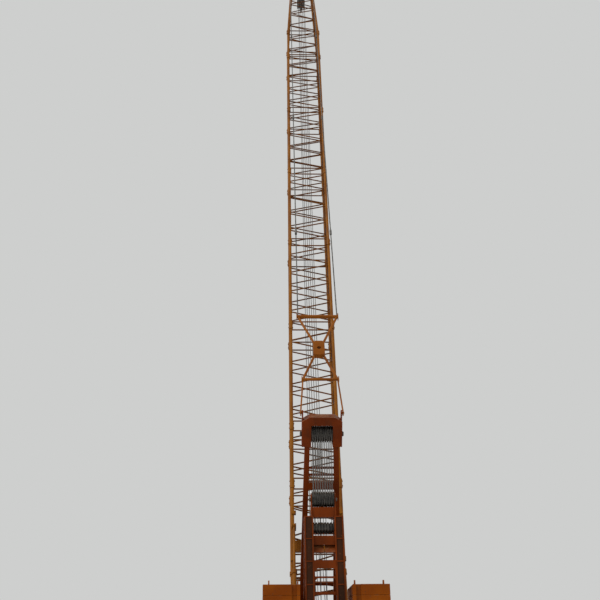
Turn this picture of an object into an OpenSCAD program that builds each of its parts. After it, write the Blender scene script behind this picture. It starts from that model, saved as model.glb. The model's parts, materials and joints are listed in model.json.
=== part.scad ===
// Crawler crane with a lattice boom and a live mast, as a 1:2 scale model.
// Millimetres. X points to the machine's right, Y forward, Z up.
// The origin is on the ground, on the slewing axis.

/* [Stance] */
// Boom angle above level
boom_angle = 75.5; // [72:0.5:80]
// Mast angle above level, leaning back
mast_angle = 58; // [56:0.5:61]
// Height of the foot pins above the ground
foot_z = 1200; // [1190:5:1260]
// Distance of the foot pins in front of the slewing axis
foot_y = 650; // [620:5:680]

/* [Tracks] */
// Distance between the track centre lines
track_gauge = 2950; // [2900:10:3100]
// Width of a track shoe
shoe_w = 550; // [450:10:600]
// Distance between the drive and idler axles
axle_base = 3550; // [3400:10:3800]
// Height of a track over its shoes
track_h = 600; // [580:5:620]
// Number of shoes on one track
shoe_count = 60; // [54:1:62]
// Thickness of a shoe plate
shoe_t = 30; // [26:1:34]
// Thickness of the links inside the shoes
link_t = 30; // [26:1:34]
// Height of the drive lugs inside the links
lug_h = 26; // [18:1:30]
// Radius of a bottom roller
roller_r = 80; // [70:1:84]
// Number of bottom rollers on one side
roller_count = 9; // [7:1:10]
// Radius of a top roller
top_roller_r = 50; // [46:1:54]
// Width between the plates of a track frame
frame_gap = 220; // [210:2:240]
// Thickness of a track frame plate
frame_t = 20; // [14:1:26]

/* [Slewing ring] */
// Outer radius of the slewing ring
ring_r = 670; // [640:5:700]
// Height of the top of the carbody
carbody_z = 620; // [600:5:630]

/* [Turntable] */
// Underside of the turntable
deck_z = 710; // [708:1:720]
// Top of the main girders
girder_z = 1080; // [1040:5:1085]
// Inner face of a main girder from the centre line
girder_in = 295; // [285:1:300]
// Outer face of a main girder from the centre line
girder_out = 460; // [440:5:480]
// Rear end of the turntable behind the slewing axis
deck_rear = 2150; // [2000:10:2250]
// Radius of the foot pins
foot_pin_r = 45; // [40:1:50]

/* [Winches] */
// Radius of a hoist winch flange
hoist_flange_r = 280; // [240:5:290]
// Radius of the luffing winch flange
luff_flange_r = 220; // [200:5:240]
// Radius of the rope laid on a hoist winch
hoist_rope_r = 215; // [180:5:230]
// Height of the winch shafts
winch_z = 1180; // [1160:5:1220]

/* [Gantry] */
// Height of the gantry sheave axle
gantry_z = 3620; // [3550:10:3650]
// Distance of the gantry sheave axle behind the slewing axis
gantry_y = 1650; // [1600:10:1700]
// Clearance between the gantry's upper sheave pack and the cheek plate beside it
gantry_pack_gap = 11; // [5:1:20]

/* [Mast] */
// Distance from the foot pin to the mast sheave axle
mast_sheave_s = 4380; // [4250:10:4450]
// Distance from the foot pin to the top of the mast head
mast_top_s = 4750; // [4700:10:4800]
// Half width of the mast head
mast_head_half = 402; // [380:1:420]
// Outer side of a mast leg below the head, from the centre line
mast_leg_top = 342; // [330:1:360]
// Width of a mast leg
mast_leg_w = 105; // [90:1:115]
// Depth of a mast leg
mast_leg_d = 130; // [110:5:150]

/* [Boom] */
// Length of the heel section
heel_len = 3250; // [3100:50:3700]
// Length of the head section
head_len = 4500; // [4200:50:4800]
// Half distance between the chords across the boom
chord_x = 548; // [500:2:560]
// Half distance between the chords through the boom's depth
chord_y = 460; // [420:5:490]
// Radius of a chord tube
chord_r = 40; // [34:1:46]
// Radius of a brace tube
brace_r = 18; // [12:1:20]
// Distance between brace nodes on one chord
node_pitch = 750; // [600:10:900]
// Half distance between the chords across the boom's tip
tip_x = 370; // [350:5:380]
// Half distance between the chords through the tip's depth
tip_y = 180; // [160:5:210]
// Radius of a pendant rod
pendant_r = 14; // [10:1:18]
// Half distance between the pendant lines
pendant_x = 440; // [425:1:450]

/* [Hook block] */
// Radius of the rope line round the head sheaves
fall_r = 190; // [170:5:210]
// Height of the hook block axle below the head axle
hook_drop = 560; // [500:10:620]

/* [Cab] */
// Inner side of the cab from the centre line
cab_x = 680; // [660:5:700]
// Width of the cab
cab_w = 550; // [520:5:580]
// Front of the cab ahead of the slewing axis
cab_front = 950; // [900:10:1000]
// Length of the cab
cab_l = 1000; // [950:10:1050]
// Height of the cab
cab_h = 975; // [940:5:1000]
// Wall thickness of the cab
cab_wall = 24; // [18:1:30]

/* [Engine housing] */
// Length of the engine housing
hood_l = 1580; // [1500:10:1620]
// Height of the engine housing
hood_h = 850; // [780:10:900]
// Sheet thickness of the housing with its stiffening
hood_wall = 16; // [12:1:20]

/* [Counterweights] */
// Inner side of a counterweight stack from the centre line
cw_in = 470; // [465:5:500]
// Outer side of a counterweight stack from the centre line
cw_out = 1140; // [1120:5:1200]
// Rear end of the counterweights behind the slewing axis
cw_rear = 2250; // [2200:10:2300]
// Length of a counterweight plate
cw_l = 1180; // [1100:10:1200]
// Thickness of one counterweight plate
cw_t = 187; // [150:1:200]
// Number of plates in a stack
cw_count = 7; // [5:1:8]

/* [Hidden] */
$fn = 48;

crane_orange = [0.62, 0.27, 0.06];
boom_ochre = [0.66, 0.38, 0.08];
steel_dark = [0.20, 0.19, 0.18];
steel_grey = [0.45, 0.44, 0.42];
rope_grey = [0.30, 0.30, 0.29];
glass_tint = [0.35, 0.45, 0.48, 0.5];
seat_black = [0.12, 0.12, 0.13];

// Clearances that several pieces share
seat_gap = 0.3;
running_gap = 0.05;
side_gap = 5;

// Height of one half of the slewing ring
ring_h = (deck_z - carbody_z - seat_gap) / 2;

// Track chain
run_r = track_h / 2 - shoe_t;
chain_len = 2 * axle_base + 2 * PI * run_r;
shoe_pitch = chain_len / shoe_count;
wheel_r = run_r * cos(shoe_pitch / run_r * 90 / PI) - link_t - seat_gap;
track_x = track_gauge / 2;
link_half = frame_gap / 2;
lug_half = 30;
rim_in = lug_half + 10;
rim_out = link_half - 12;
frame_out = link_half + frame_t;
roller_z = shoe_t + link_t + roller_r;
roller_pin_r = 24;
wheel_pin_r = 45;
top_roller_z = track_h - shoe_t - link_t - top_roller_r;
frame_low = roller_z - 38;
frame_high = 425;

// Towing eye on the carbody
tow_eye_y = 900;
tow_eye_z = 400;

// Turntable
foot_box_out = 600;
foot_box_rear = 380;
foot_box_front = 765;
mast_lug = [girder_in + 30 + side_gap, 435];
mid_plate = [mast_lug[1] + side_gap, 470];
boom_lug = [mid_plate[1] + side_gap, 565];
lug_r = 110;
boom_lug_x = (boom_lug[0] + boom_lug[1]) / 2;
mast_foot_x = (mast_lug[0] + mast_lug[1]) / 2;
deck_beam_z = 800;
deck_beam_out = 1190;
winch_half = 245;
pedestal_x = [girder_in + 10, girder_in + 80];
hoist_front_y = 130;
hoist_rear_y = -440;
luff_y = -1250;
gantry_rear_foot = -deck_rear + 90;
gantry_front_foot = -790;
low_pack_drop = 540;
luff_sheaves = 9;
luff_pitch = 46;
luff_pack_half = luff_sheaves * luff_pitch / 2;
gantry_cheek = 22;
// Half width of the gantry over its cheek plates
gantry_half = luff_pack_half + gantry_pack_gap + gantry_cheek;
shaft_r = 50;

// Boom sections between heel and head: columns are the place in the row and the length
insert_len = [1500, 3000, 3000, 3000, 3000, 3000, 1500];
function insert_start(i) = i == 0 ? heel_len : insert_start(i - 1) + insert_len[i - 1];
head_start = insert_start(len(insert_len));
boom_tip = head_start + head_len;
tip_straight = 300;
// Middle of a plate that holds the head axle, from the centre line
head_plate_x = 370;
head_axle_t = boom_tip - 200;
head_axle_n = 440;
lean = 90 - boom_angle;
mast_lean = 90 - mast_angle;

// A point given across, through and along the boom, in the machine's frame
function boom_pt(x, n, t) = [x, foot_y + n * cos(lean) + t * sin(lean),
    foot_z - n * sin(lean) + t * cos(lean)];
// A point given across and along the mast, with d out of its rear face
function mast_pt(x, d, s) = [x, foot_y - d * cos(mast_lean) - s * sin(mast_lean),
    foot_z - d * sin(mast_lean) + s * cos(mast_lean)];

// Backstops
backstop_x = boom_lug_x;
backstop_n = -chord_y - 110;
backstop_t = 2200;
backstop_pin_r = 20;
backstop_foot = [backstop_x, -150, girder_z + 400];

backstop_top = boom_pt(backstop_x, backstop_n, backstop_t);
backstop_lean = atan2(backstop_top[1] - backstop_foot[1], backstop_top[2] - backstop_foot[2]);
// Where the backstops' feet come when the boom leans back as far as it goes, and the gap left there
boom_back = 6;
stop_gap = 6;
stop_point = [backstop_x,
    foot_y + (backstop_foot[1] - foot_y) * cos(boom_back) - (backstop_foot[2] - foot_z) * sin(boom_back),
    foot_z + (backstop_foot[1] - foot_y) * sin(boom_back) + (backstop_foot[2] - foot_z) * cos(boom_back)];

// Pendant lines from the mast head to the boom head
pendant_pin_s = mast_top_s + 60;
pendant_pin_x = mast_head_half + 20;
pendant_pin_r = 22;
anchor_n = -(tip_y - 30);
anchor_t = boom_tip - 120;
pendant_a = mast_pt(0, 0, pendant_pin_s);
pendant_b = boom_pt(0, anchor_n, anchor_t);
pendant_len = norm(pendant_b - pendant_a);
pendant_lean = atan2(pendant_b[1] - pendant_a[1], pendant_b[2] - pendant_a[2]);
spread_high_w = 2763;
spread_low_w = spread_high_w - 1873;
spread_low_x = 362;
spread_box_w = spread_high_w - 1011;
spread_box_h = 408;
spread_box_half = 124;
spread_chamfer = 45;
first_link = 3080;
link_step = 5650;

// Door hinges
hinge_h = 110;
hinge_arm = 16;
hinge_r = 15;
hinge_pin_r = 7;
hinge_out = 16;

// Cab
cab_z = deck_beam_z;
door_hinge_y = cab_front - cab_l + 110;
door_hinge_z = [cab_z + 200, cab_z + cab_h - 200];
door_y0 = cab_front - cab_l + 110;
door_y1 = cab_front - 180;
door_gap = 6;

// Engine housing
hood_rear = cw_rear - cw_l - 90;
hood_hinge_z = [deck_beam_z + 200, deck_beam_z + hood_h - 200];
hood_x0 = 620;
hood_x1 = deck_beam_out;
hood_z = deck_beam_z;
hood_front = hood_l - hood_rear;
hood_door_w = (hood_l - 200) / 2;
tank_front = -170;
tank_top = 1450;
walk_out = hood_x0 - 5;

// A box between two corners
module block(low, high) {
    translate(low) cube(high - low);
}

// A plate whose outline lies in the Y Z plane, between two places on X
module plate_x(x0, x1) {
    translate([x0, 0, 0]) rotate([90, 0, 90]) linear_extrude(x1 - x0) children();
}

// A plate whose outline lies in the X Z plane, between two places on Y
module plate_y(y0, y1) {
    translate([0, y1, 0]) rotate([90, 0, 0]) linear_extrude(y1 - y0) children();
}

// A round bar along X at a place in Y and Z
module bar_x(x0, x1, y, z, r) {
    translate([x0, y, z]) rotate([0, 90, 0]) cylinder(h = x1 - x0, r = r);
}

// A bar between two points, round unless it is given a few sides, turned about itself by spin
module rod(a, b, r, sides = 48, spin = 0) {
    d = b - a;
    span = norm(d);
    translate(a) rotate([0, acos(d[2] / span), atan2(d[1], d[0])]) rotate([0, 0, spin])
        cylinder(h = span, r = r, $fn = sides);
}

// The fixed half of a hinge: an upright pin between two arms that reach back over dy
module hinge_pin(x, y, z, dx, dy) {
    translate([x, y, z - hinge_h / 2]) {
        cylinder(h = hinge_h, r = hinge_pin_r);
        for (h = [0, hinge_h - hinge_arm]) translate([0, 0, h]) {
            cylinder(h = hinge_arm, r = hinge_r);
            block([min(0, dx), min(0, dy), 0], [max(0, dx), max(0, dy), hinge_arm]);
        }
    }
}

// The moving half of a hinge: a sleeve on the pin and its arm
module hinge_sleeve(x, y, z, dx, dy) {
    half = hinge_h / 2 - hinge_arm - seat_gap;
    translate([x, y, z]) difference() {
        union() {
            translate([0, 0, -half]) cylinder(h = 2 * half, r = hinge_r);
            block([min(0, dx), min(0, dy), -half], [max(0, dx), max(0, dy), half]);
        }
        translate([0, 0, -half - 1]) cylinder(h = 2 * half + 2, r = hinge_pin_r + running_gap);
    }
}

// The same shape on both sides of the machine
module both_sides() {
    children();
    mirror([1, 0, 0]) children();
}

// Places children in the boom's own frame, with Z along the boom
module on_boom() {
    translate([0, foot_y, foot_z]) rotate([-lean, 0, 0]) children();
}

// Places children in the mast's own frame, with Z along the mast
module on_mast() {
    translate([0, foot_y, foot_z]) rotate([mast_lean, 0, 0]) children();
}

// Places children in the pendants' frame, with Z along them from the mast pin
module on_pendants() {
    translate(pendant_a) rotate([-pendant_lean, 0, 0]) children();
}

// Grooved sheaves side by side on one axle along X
module sheave_row(count, pitch, rim_r, groove_r, groove_w, axle_r) {
    width = count * pitch;
    for (i = [0 : count - 1]) translate([-width / 2 + i * pitch, 0, 0]) rotate([0, 90, 0])
        rotate_extrude() polygon([[0, 0], [rim_r, 0], [rim_r, (pitch - groove_w) / 2],
            [groove_r, pitch / 2 - groove_w * 0.3], [groove_r, pitch / 2 + groove_w * 0.3],
            [rim_r, (pitch + groove_w) / 2], [rim_r, pitch], [0, pitch]]);
    bar_x(-width / 2 - 5, width / 2 + 5, 0, 0, axle_r);
}

// One place on the chain's line: Y, Z and the outward angle, s along it from the bottom rear
function chain_at(s) =
    let (arc = PI * run_r, mid = track_h / 2, half = axle_base / 2)
    s < axle_base ? [-half + s, mid - run_r, -90]
    : s < axle_base + arc ? let (a = -90 + (s - axle_base) / run_r * 180 / PI)
        [half + run_r * cos(a), mid + run_r * sin(a), a]
    : s < 2 * axle_base + arc ? [half - (s - axle_base - arc), mid + run_r, 90]
    : let (a = 90 + (s - 2 * axle_base - arc) / run_r * 180 / PI)
        [-half + run_r * cos(a), mid + run_r * sin(a), a];
function link_pin(i) = chain_at((i % shoe_count) * shoe_pitch);
// A point of shoe i, a share f of the way to the next pin and v outside the chain's line
function shoe_point(i, f, v) =
    let (a = link_pin(i), b = link_pin(i + 1),
        t = [b[0] - a[0], b[1] - a[1]] / norm([b[0] - a[0], b[1] - a[1]]))
    [a[0] + (b[0] - a[0]) * f + t[1] * v, a[1] + (b[1] - a[1]) * f - t[0] * v];
function radial_point(i, v) = let (p = link_pin(i)) [p[0] + v * cos(p[2]), p[1] + v * sin(p[2])];

// One closed track: shoe plates outside, links with drive lugs inside
module track(side) {
    notch = 0.03;
    translate([side * track_x, 0, 0]) {
        plate_x(-shoe_w / 2, shoe_w / 2) difference() {
            polygon([for (i = [0 : shoe_count - 1])
                for (q = [[notch, 8], [notch, shoe_t], [1 - notch, shoe_t], [1 - notch, 8]])
                    shoe_point(i, q[0], q[1])]);
            polygon([for (i = [0 : shoe_count - 1]) radial_point(i, 0)]);
        }
        plate_x(-link_half, link_half) difference() {
            polygon([for (i = [0 : shoe_count - 1]) radial_point(i, 4)]);
            polygon([for (i = [0 : shoe_count - 1]) radial_point(i, -link_t)]);
        }
        plate_x(-lug_half, lug_half) for (i = [0 : shoe_count - 1])
            polygon([for (q = [[0.34, 4 - link_t], [0.40, -link_t - lug_h], [0.60, -link_t - lug_h],
                [0.66, 4 - link_t]]) shoe_point(i, q[0], q[1])]);
    }
}

module roller_places() {
    span = axle_base - 2 * (wheel_r + roller_r + 60);
    for (i = [0 : roller_count - 1])
        translate([0, -span / 2 + i * span / (roller_count - 1), roller_z]) children();
}

module top_roller_places() {
    for (y = [-axle_base / 5, axle_base / 5]) translate([0, y, top_roller_z]) children();
}

// A track frame: two profiled plates, the beam between them and the gearbox on its inner side
module track_frame(side) {
    mid = track_h / 2;
    half = axle_base / 2;
    end_r = 95;
    shoulder = 330;
    module outline() {
        difference() {
            union() {
                polygon([[-half, mid - end_r], [-half + shoulder, frame_low], [half - shoulder, frame_low],
                    [half, mid - end_r], [half, mid + end_r], [half - shoulder, frame_high],
                    [-half + shoulder, frame_high], [-half, mid + end_r]]);
                for (y = [-half, half]) translate([y, mid]) circle(r = end_r);
                for (y = [-axle_base / 5, axle_base / 5]) translate([y - 45, frame_high - 1])
                    square([90, top_roller_z - frame_high + 30]);
            }
            for (y = [-half, half]) translate([y, mid]) circle(r = wheel_pin_r + seat_gap);
        }
    }
    color(crane_orange) translate([side * track_x, 0, 0]) difference() {
        union() {
            for (x = [link_half, -link_half - frame_t]) plate_x(x, x + frame_t) outline();
            block([-link_half, -half + wheel_r + 60, mid - 30], [link_half, half - wheel_r - 60, frame_high]);
            mirror([side > 0 ? 0 : 1, 0, 0]) {
                difference() {
                    translate([-frame_out - 150, -half, mid]) rotate([0, 90, 0]) cylinder(h = 150, r = 150);
                    translate([-frame_out - 1, -half, mid]) rotate([0, 90, 0])
                        cylinder(h = 2, r = wheel_pin_r + seat_gap);
                }
                translate([-frame_out - 215, -half, mid]) rotate([0, 90, 0]) cylinder(h = 66, r = 95);
            }
        }
        roller_places() bar_x(-frame_out - 1, frame_out + 1, 0, 0, roller_pin_r + seat_gap);
        top_roller_places() bar_x(-frame_out - 1, frame_out + 1, 0, 0, 18 + seat_gap);
    }
}

// A spool shaped wheel: two rims, a hub that clears the lugs and its pin
module spool(r, hub_r, pin_r, pin_half) {
    for (x = [rim_in, -rim_out]) bar_x(x, x + rim_out - rim_in, 0, 0, r);
    bar_x(-rim_in - 1, rim_in + 1, 0, 0, hub_r);
    bar_x(-pin_half, pin_half, 0, 0, pin_r);
}

module rollers() {
    color(steel_dark) for (side = [-1, 1]) translate([side * track_x, 0, 0]) {
        roller_places() spool(roller_r - seat_gap, roller_r - lug_h - 12, roller_pin_r, frame_out);
        top_roller_places() spool(top_roller_r - seat_gap, 21, 18, frame_out);
    }
}

module wheel_pair(y) {
    color(steel_dark) for (side = [-1, 1]) translate([side * track_x, y, track_h / 2])
        spool(wheel_r, wheel_r - lug_h - 20, wheel_pin_r, frame_out - 1);
}

module carbody() {
    inner_face = track_x - frame_out;
    color(crane_orange) difference() {
        union() {
            translate([0, 0, 240]) cylinder(h = carbody_z - 240, r = ring_r + 30);
            for (y = [-820, 560]) plate_y(y, y + 260)
                polygon([[-inner_face, 180], [inner_face, 180], [inner_face, 480], [ring_r, 580],
                    [-ring_r, 580], [-inner_face, 480]]);
            block([-420, -820, 240], [420, 820, 560]);
            block([-90, -tow_eye_y - 50, tow_eye_z - 20], [90, -800, tow_eye_z + 20]);
            translate([0, 0, carbody_z - 1]) cylinder(h = ring_h + 1, r = ring_r);
        }
        translate([0, 0, 200]) cylinder(h = 500, r = 330);
        translate([0, -tow_eye_y, tow_eye_z - 21]) cylinder(h = 42, r = 25);
    }
}

// The upper half of the slewing ring, a running gap above the lower half
module slew_ring() {
    color(steel_grey) translate([0, 0, deck_z - ring_h]) difference() {
        cylinder(h = ring_h, r = ring_r);
        translate([0, 0, -1]) cylinder(h = ring_h + 2, r = ring_r - 110);
    }
}

module turntable_frame() {
    lug_plates = [[girder_in, girder_in + 30], mid_plate, [boom_lug[1] + side_gap, foot_box_out]];
    color(crane_orange) difference() {
        union() {
            translate([0, 0, deck_z]) cylinder(h = 40, r = ring_r + 20);
            block([-girder_out, -deck_rear, deck_z], [girder_out, foot_box_front, deck_z + 30]);
            both_sides() {
                block([girder_in, -deck_rear, deck_z], [girder_out, foot_box_front, girder_z]);
                block([girder_in, foot_box_rear, deck_z], [foot_box_out, foot_box_front, girder_z]);
                bar_x(girder_in, foot_box_out, foot_y, foot_z, foot_pin_r);
                for (p = lug_plates) plate_x(p[0], p[1]) {
                    translate([foot_y, foot_z]) circle(r = lug_r);
                    polygon([[foot_box_rear + 20, girder_z - 5], [foot_box_front, girder_z - 5],
                        [foot_y + lug_r * 0.97, foot_z + 30], [foot_y - lug_r * 0.8, foot_z + lug_r * 0.6]]);
                }
                plate_y(stop_point[1] - 50, stop_point[1] + 50)
                    polygon([[girder_out - 5, girder_z - 220], [girder_out - 5, girder_z],
                        [backstop_x - 40, stop_point[2] - 30], [backstop_x + 40, stop_point[2] - 30],
                        [backstop_x + 40, girder_z + 100]]);
                translate(stop_point) rotate([boom_back - backstop_lean, 0, 0])
                    translate([0, 0, -stop_gap - 40]) cylinder(h = 40, r = 62);
                for (y = [hoist_front_y, hoist_rear_y, luff_y]) plate_x(pedestal_x[0], pedestal_x[1]) {
                    translate([y, winch_z]) circle(r = 85);
                    polygon([[y - 120, girder_z - 5], [y + 120, girder_z - 5], [y + 80, winch_z + 20],
                        [y - 80, winch_z + 20]]);
                }
                for (y = [420, 0, -460, -900]) plate_y(y, y + 70)
                    polygon([[girder_out - 5, deck_z], [girder_out - 5, deck_beam_z],
                        [deck_beam_out, deck_beam_z], [deck_beam_out, 740], [foot_box_out, deck_z]]);
            }
            for (y = [-deck_rear, -1660, -820])
                block([-girder_in - 1, y, deck_z], [girder_in + 1, y + 60, girder_z]);
        }
        for (y = [hoist_front_y, hoist_rear_y, luff_y])
            bar_x(-foot_box_out, foot_box_out, y, winch_z, shaft_r + seat_gap);
        translate([0, 0, deck_z - 1]) cylinder(h = 60, r = 200);
    }
}

// A rope winch: barrel with laid rope, two flanges and its shaft
module winch(y, flange_r, rope_r) {
    translate([0, y, winch_z]) {
        bar_x(-winch_half, winch_half, 0, 0, rope_r);
        for (x = [-winch_half, winch_half - 26]) bar_x(x, x + 26, 0, 0, flange_r);
        bar_x(-pedestal_x[1], pedestal_x[1], 0, 0, shaft_r);
    }
}

module hoist_winches() {
    color(steel_dark) {
        winch(hoist_front_y, hoist_flange_r, hoist_rope_r);
        winch(hoist_rear_y, hoist_flange_r, hoist_rope_r);
    }
}

module luffing_winch() {
    color(steel_dark) winch(luff_y, luff_flange_r, luff_flange_r - 50);
}

// The gantry: two side frames on cross members, tied by beams and a plate with openings
module gantry() {
    // Inner and outer side of a side frame's legs
    leg_x = [200, 372];
    foot_z0 = girder_z + 50;
    neck_z = gantry_z - 330;
    inner = leg_x[0] + 1;
    head_inner = gantry_half - gantry_cheek + 1;
    // Cross beams: half width, depth behind the rear face, low and high edge below the axle
    beams = [[head_inner, 200, 350, 160], [inner, 150, 870, 700], [inner, 90, 1290, 1150]];
    // Sloping plate under the middle beam, a half on each side of its seam: depth and height below the axle
    apron = [[20, 1020], [150, 865], [110, 865], [-10, 1010]];
    apron_top = gantry_z - 865;
    // The panel and its openings: low and high edge below the axle
    panel = [1760, 1155];
    windows = [[1440, 1300], [1705, 1470]];
    // One leg of a side frame: its middle and half width at the foot, its front and rear edge at the axle
    legs = [[gantry_rear_foot, 55, -gantry_y - 100, -gantry_y + 20],
        [gantry_front_foot, 50, -gantry_y - 20, -gantry_y + 100]];
    function leg_edge(low, high, z) = low + (high - low) * (z - foot_z0) / (gantry_z - foot_z0);
    module side_legs(top) {
        for (q = legs) polygon([[q[0] - q[1], foot_z0], [q[0] + q[1], foot_z0],
            [leg_edge(q[0] + q[1], q[3], top), top], [leg_edge(q[0] - q[1], q[2], top), top]]);
    }
    color(crane_orange) {
        for (y = [gantry_rear_foot, gantry_front_foot])
            block([-girder_out, y - 60, girder_z], [girder_out, y + 60, girder_z + 110]);
        difference() {
            union() {
                both_sides() {
                    plate_x(leg_x[0], leg_x[1]) side_legs(neck_z);
                    plate_x(gantry_half - gantry_cheek, gantry_half) {
                        side_legs(gantry_z);
                        translate([-gantry_y, gantry_z]) circle(r = 120);
                        translate([-gantry_y - 130, gantry_z - low_pack_drop - 90]) square([270, 190]);
                    }
                }
                for (b = beams) let (y = gantry_rear_face(gantry_z - b[3]))
                    block([-b[0], y + 12, gantry_z - b[2]], [b[0], y + b[1], gantry_z - b[3]]);
                for (side = [-1, 1]) plate_x(side > 0 ? 12 : -inner, side > 0 ? inner : -12)
                    polygon([for (q = apron) [gantry_rear_face(apron_top) + q[0], gantry_z - q[1]]]);
                block([-inner, gantry_rear_face(gantry_z - panel[1]) - 40, gantry_z - panel[0]],
                    [inner, gantry_rear_face(gantry_z - panel[1]), gantry_z - panel[1]]);
            }
            bar_x(-gantry_half - 1, gantry_half + 1, -gantry_y, gantry_z, 40 + seat_gap);
            bar_x(-gantry_half - 1, gantry_half + 1, -gantry_y, gantry_z - low_pack_drop, 30 + seat_gap);
            for (w = windows) plate_y(-deck_rear, -gantry_y) translate([0, gantry_z - w[0]])
                polygon([[-inner + 12, 0], [inner - 12, 0], [inner - 12, w[0] - w[1] - 30],
                    [inner - 42, w[0] - w[1]], [-inner + 62, w[0] - w[1]], [-inner + 12, w[0] - w[1] - 50]]);
        }
    }
}

// Rear face of the gantry's rear legs at a height
function gantry_rear_face(z) = let (f = (z - girder_z - 50) / (gantry_z - girder_z - 50))
    (1 - f) * (gantry_rear_foot - 55) + f * (-gantry_y - 100);

module gantry_sheaves() {
    color(steel_dark) translate([0, -gantry_y, gantry_z]) {
        sheave_row(luff_sheaves, luff_pitch, 150, 128, 26, 60);
        bar_x(-gantry_half - 20, gantry_half + 20, 0, 0, 40);
        translate([0, 0, -low_pack_drop]) {
            sheave_row(7, 56, 108, 88, 26, 45);
            bar_x(-gantry_half, gantry_half, 0, 0, 30);
        }
    }
}

// A rail on posts along Y, standing on a roof
module handrail(x, y0, y1, z) {
    rail_h = 420;
    posts = 4;
    for (i = [0 : posts - 1]) translate([x, y0 + i * (y1 - y0) / (posts - 1), z - 4])
        cylinder(h = rail_h, r = 11);
    for (h = [rail_h / 2, rail_h - 18]) translate([x, y1 + 30, z + h]) rotate([90, 0, 0])
        cylinder(h = y1 - y0 + 60, r = 13);
}

module engine_housing() {
    y0 = -hood_rear;
    y1 = hood_front;
    color(crane_orange) translate([0, 0, 0]) {
        difference() {
            block([-hood_x1, y0, hood_z], [-hood_x0, y1, hood_z + hood_h]);
            block([-hood_x1 + hood_wall, y0 + hood_wall, hood_z + hood_wall],
                [-hood_x0 - hood_wall, y1 - hood_wall, hood_z + hood_h - hood_wall]);
            for (i = [0, 1]) block([-hood_x1 - 1, hood_door_y(i), hood_z + 60],
                [-hood_x1 + hood_wall + 1, hood_door_y(i) + hood_door_w, hood_z + hood_h - 70]);
            for (z = [hood_z + 120 : 60 : hood_z + hood_h - 160])
                block([-hood_x1 + 60, y0 - 1, z], [-hood_x0 - 60, y0 + hood_wall + 1, z + 30]);
        }
        translate([-hood_x0 - 150, y0 + 320, hood_z + hood_h - 2]) cylinder(h = 260, r = 45);
        handrail(-hood_x1 + 40, y0 + 80, y1 - 80, hood_z + hood_h);
        for (z = hood_hinge_z) for (i = [0, 1])
            hinge_pin(-hood_x1 - hinge_out, hood_hinge_y(i), z, hinge_out + 2, i == 0 ? -hinge_r : hinge_r);
    }
}

function hood_hinge_y(i) = i == 0 ? hood_door_y(0) : hood_door_y(1) + hood_door_w;
function hood_door_y(i) = -hood_rear + 60 + i * (hood_door_w + 80);

// A side door of the engine housing: the rear one hangs on its rear edge, the front one on its front edge
module hood_door(i) {
    y0 = hood_door_y(i) + door_gap;
    y1 = hood_door_y(i) + hood_door_w - door_gap;
    z0 = hood_z + 60 + door_gap;
    z1 = hood_z + hood_h - 70 - door_gap;
    color(crane_orange) for (z = hood_hinge_z)
        hinge_sleeve(-hood_x1 - hinge_out, hood_hinge_y(i), z, hinge_out, (i == 0 ? 1 : -1) * (hinge_r + 10));
    color(crane_orange) difference() {
        block([-hood_x1, y0, z0], [-hood_x1 + hood_wall, y1, z1]);
        for (z = [z0 + 100 : 50 : z0 + 400])
            block([-hood_x1 - 1, y0 + 120, z], [-hood_x1 + hood_wall + 1, y1 - 120, z + 20]);
    }
}

module engine_block() {
    color(steel_dark) {
        block([-hood_x1 + 110, -620, hood_z + hood_wall], [-hood_x0 - 110, 300, hood_z + 620]);
    }
}

module tank_housing() {
    color(crane_orange) {
        difference() {
            block([hood_x0, -hood_rear, deck_beam_z], [deck_beam_out, tank_front, tank_top]);
            block([deck_beam_out - 20, -hood_rear + 80, deck_beam_z + 80],
                [deck_beam_out + 1, tank_front - 80, tank_top - 80]);
        }
        for (y = [-hood_rear + 220, tank_front - 220])
            translate([(hood_x0 + deck_beam_out) / 2, y, tank_top - 2]) cylinder(h = 34, r = 62);
        handrail(deck_beam_out - 40, -hood_rear + 60, tank_front - 60, tank_top);
    }
}

module walkways() {
    color(steel_grey) {
        block([girder_out + 5, -hood_rear, deck_beam_z], [walk_out, foot_box_rear - 10, deck_beam_z + 20]);
        block([-walk_out, -hood_rear, deck_beam_z], [-girder_out - 5, foot_box_rear - 10, deck_beam_z + 20]);
    }
}

module counterweight_tray() {
    color(crane_orange) difference() {
        block([-cw_out, -cw_rear, 640 + 20], [cw_out, -cw_rear + cw_l, deck_z]);
        block([-girder_in, -cw_rear + 200, 600], [girder_in, -cw_rear + cw_l + 1, deck_z + 1]);
    }
}

// A stack of plates; the upper ones stand beside the girders and reach inward over nothing
module counterweights(side) {
    lug_hole_r = 20;
    color(crane_orange) mirror([side > 0 ? 0 : 1, 0, 0]) {
        for (i = [0 : cw_count - 1])
            translate([cw_in, -cw_rear, deck_z + seat_gap + i * (cw_t + seat_gap)]) difference() {
                cube([cw_out - cw_in, cw_l, cw_t]);
                for (y = [-1, cw_l - 30]) translate([60, y, -1]) cube([90, 31, cw_t + 2]);
            }
        top = deck_z + cw_count * (cw_t + seat_gap);
        for (x = [cw_in + 30, cw_out - 120]) translate([x, -cw_rear + 70, top]) difference() {
            plate_x(0, 24) polygon([[-50, -20], [50, -20], [26, 70], [-26, 70]]);
            bar_x(-1, 25, 0, 36, lug_hole_r);
        }
    }
}

module cab_profile(inset) {
    y0 = cab_front - cab_l;
    polygon([[y0 + inset, cab_z + inset], [cab_front - 90, cab_z + inset], [cab_front - inset, cab_z + 300],
        [cab_front - inset - 110, cab_z + cab_h - inset], [y0 + inset, cab_z + cab_h - inset]]);
}

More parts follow.
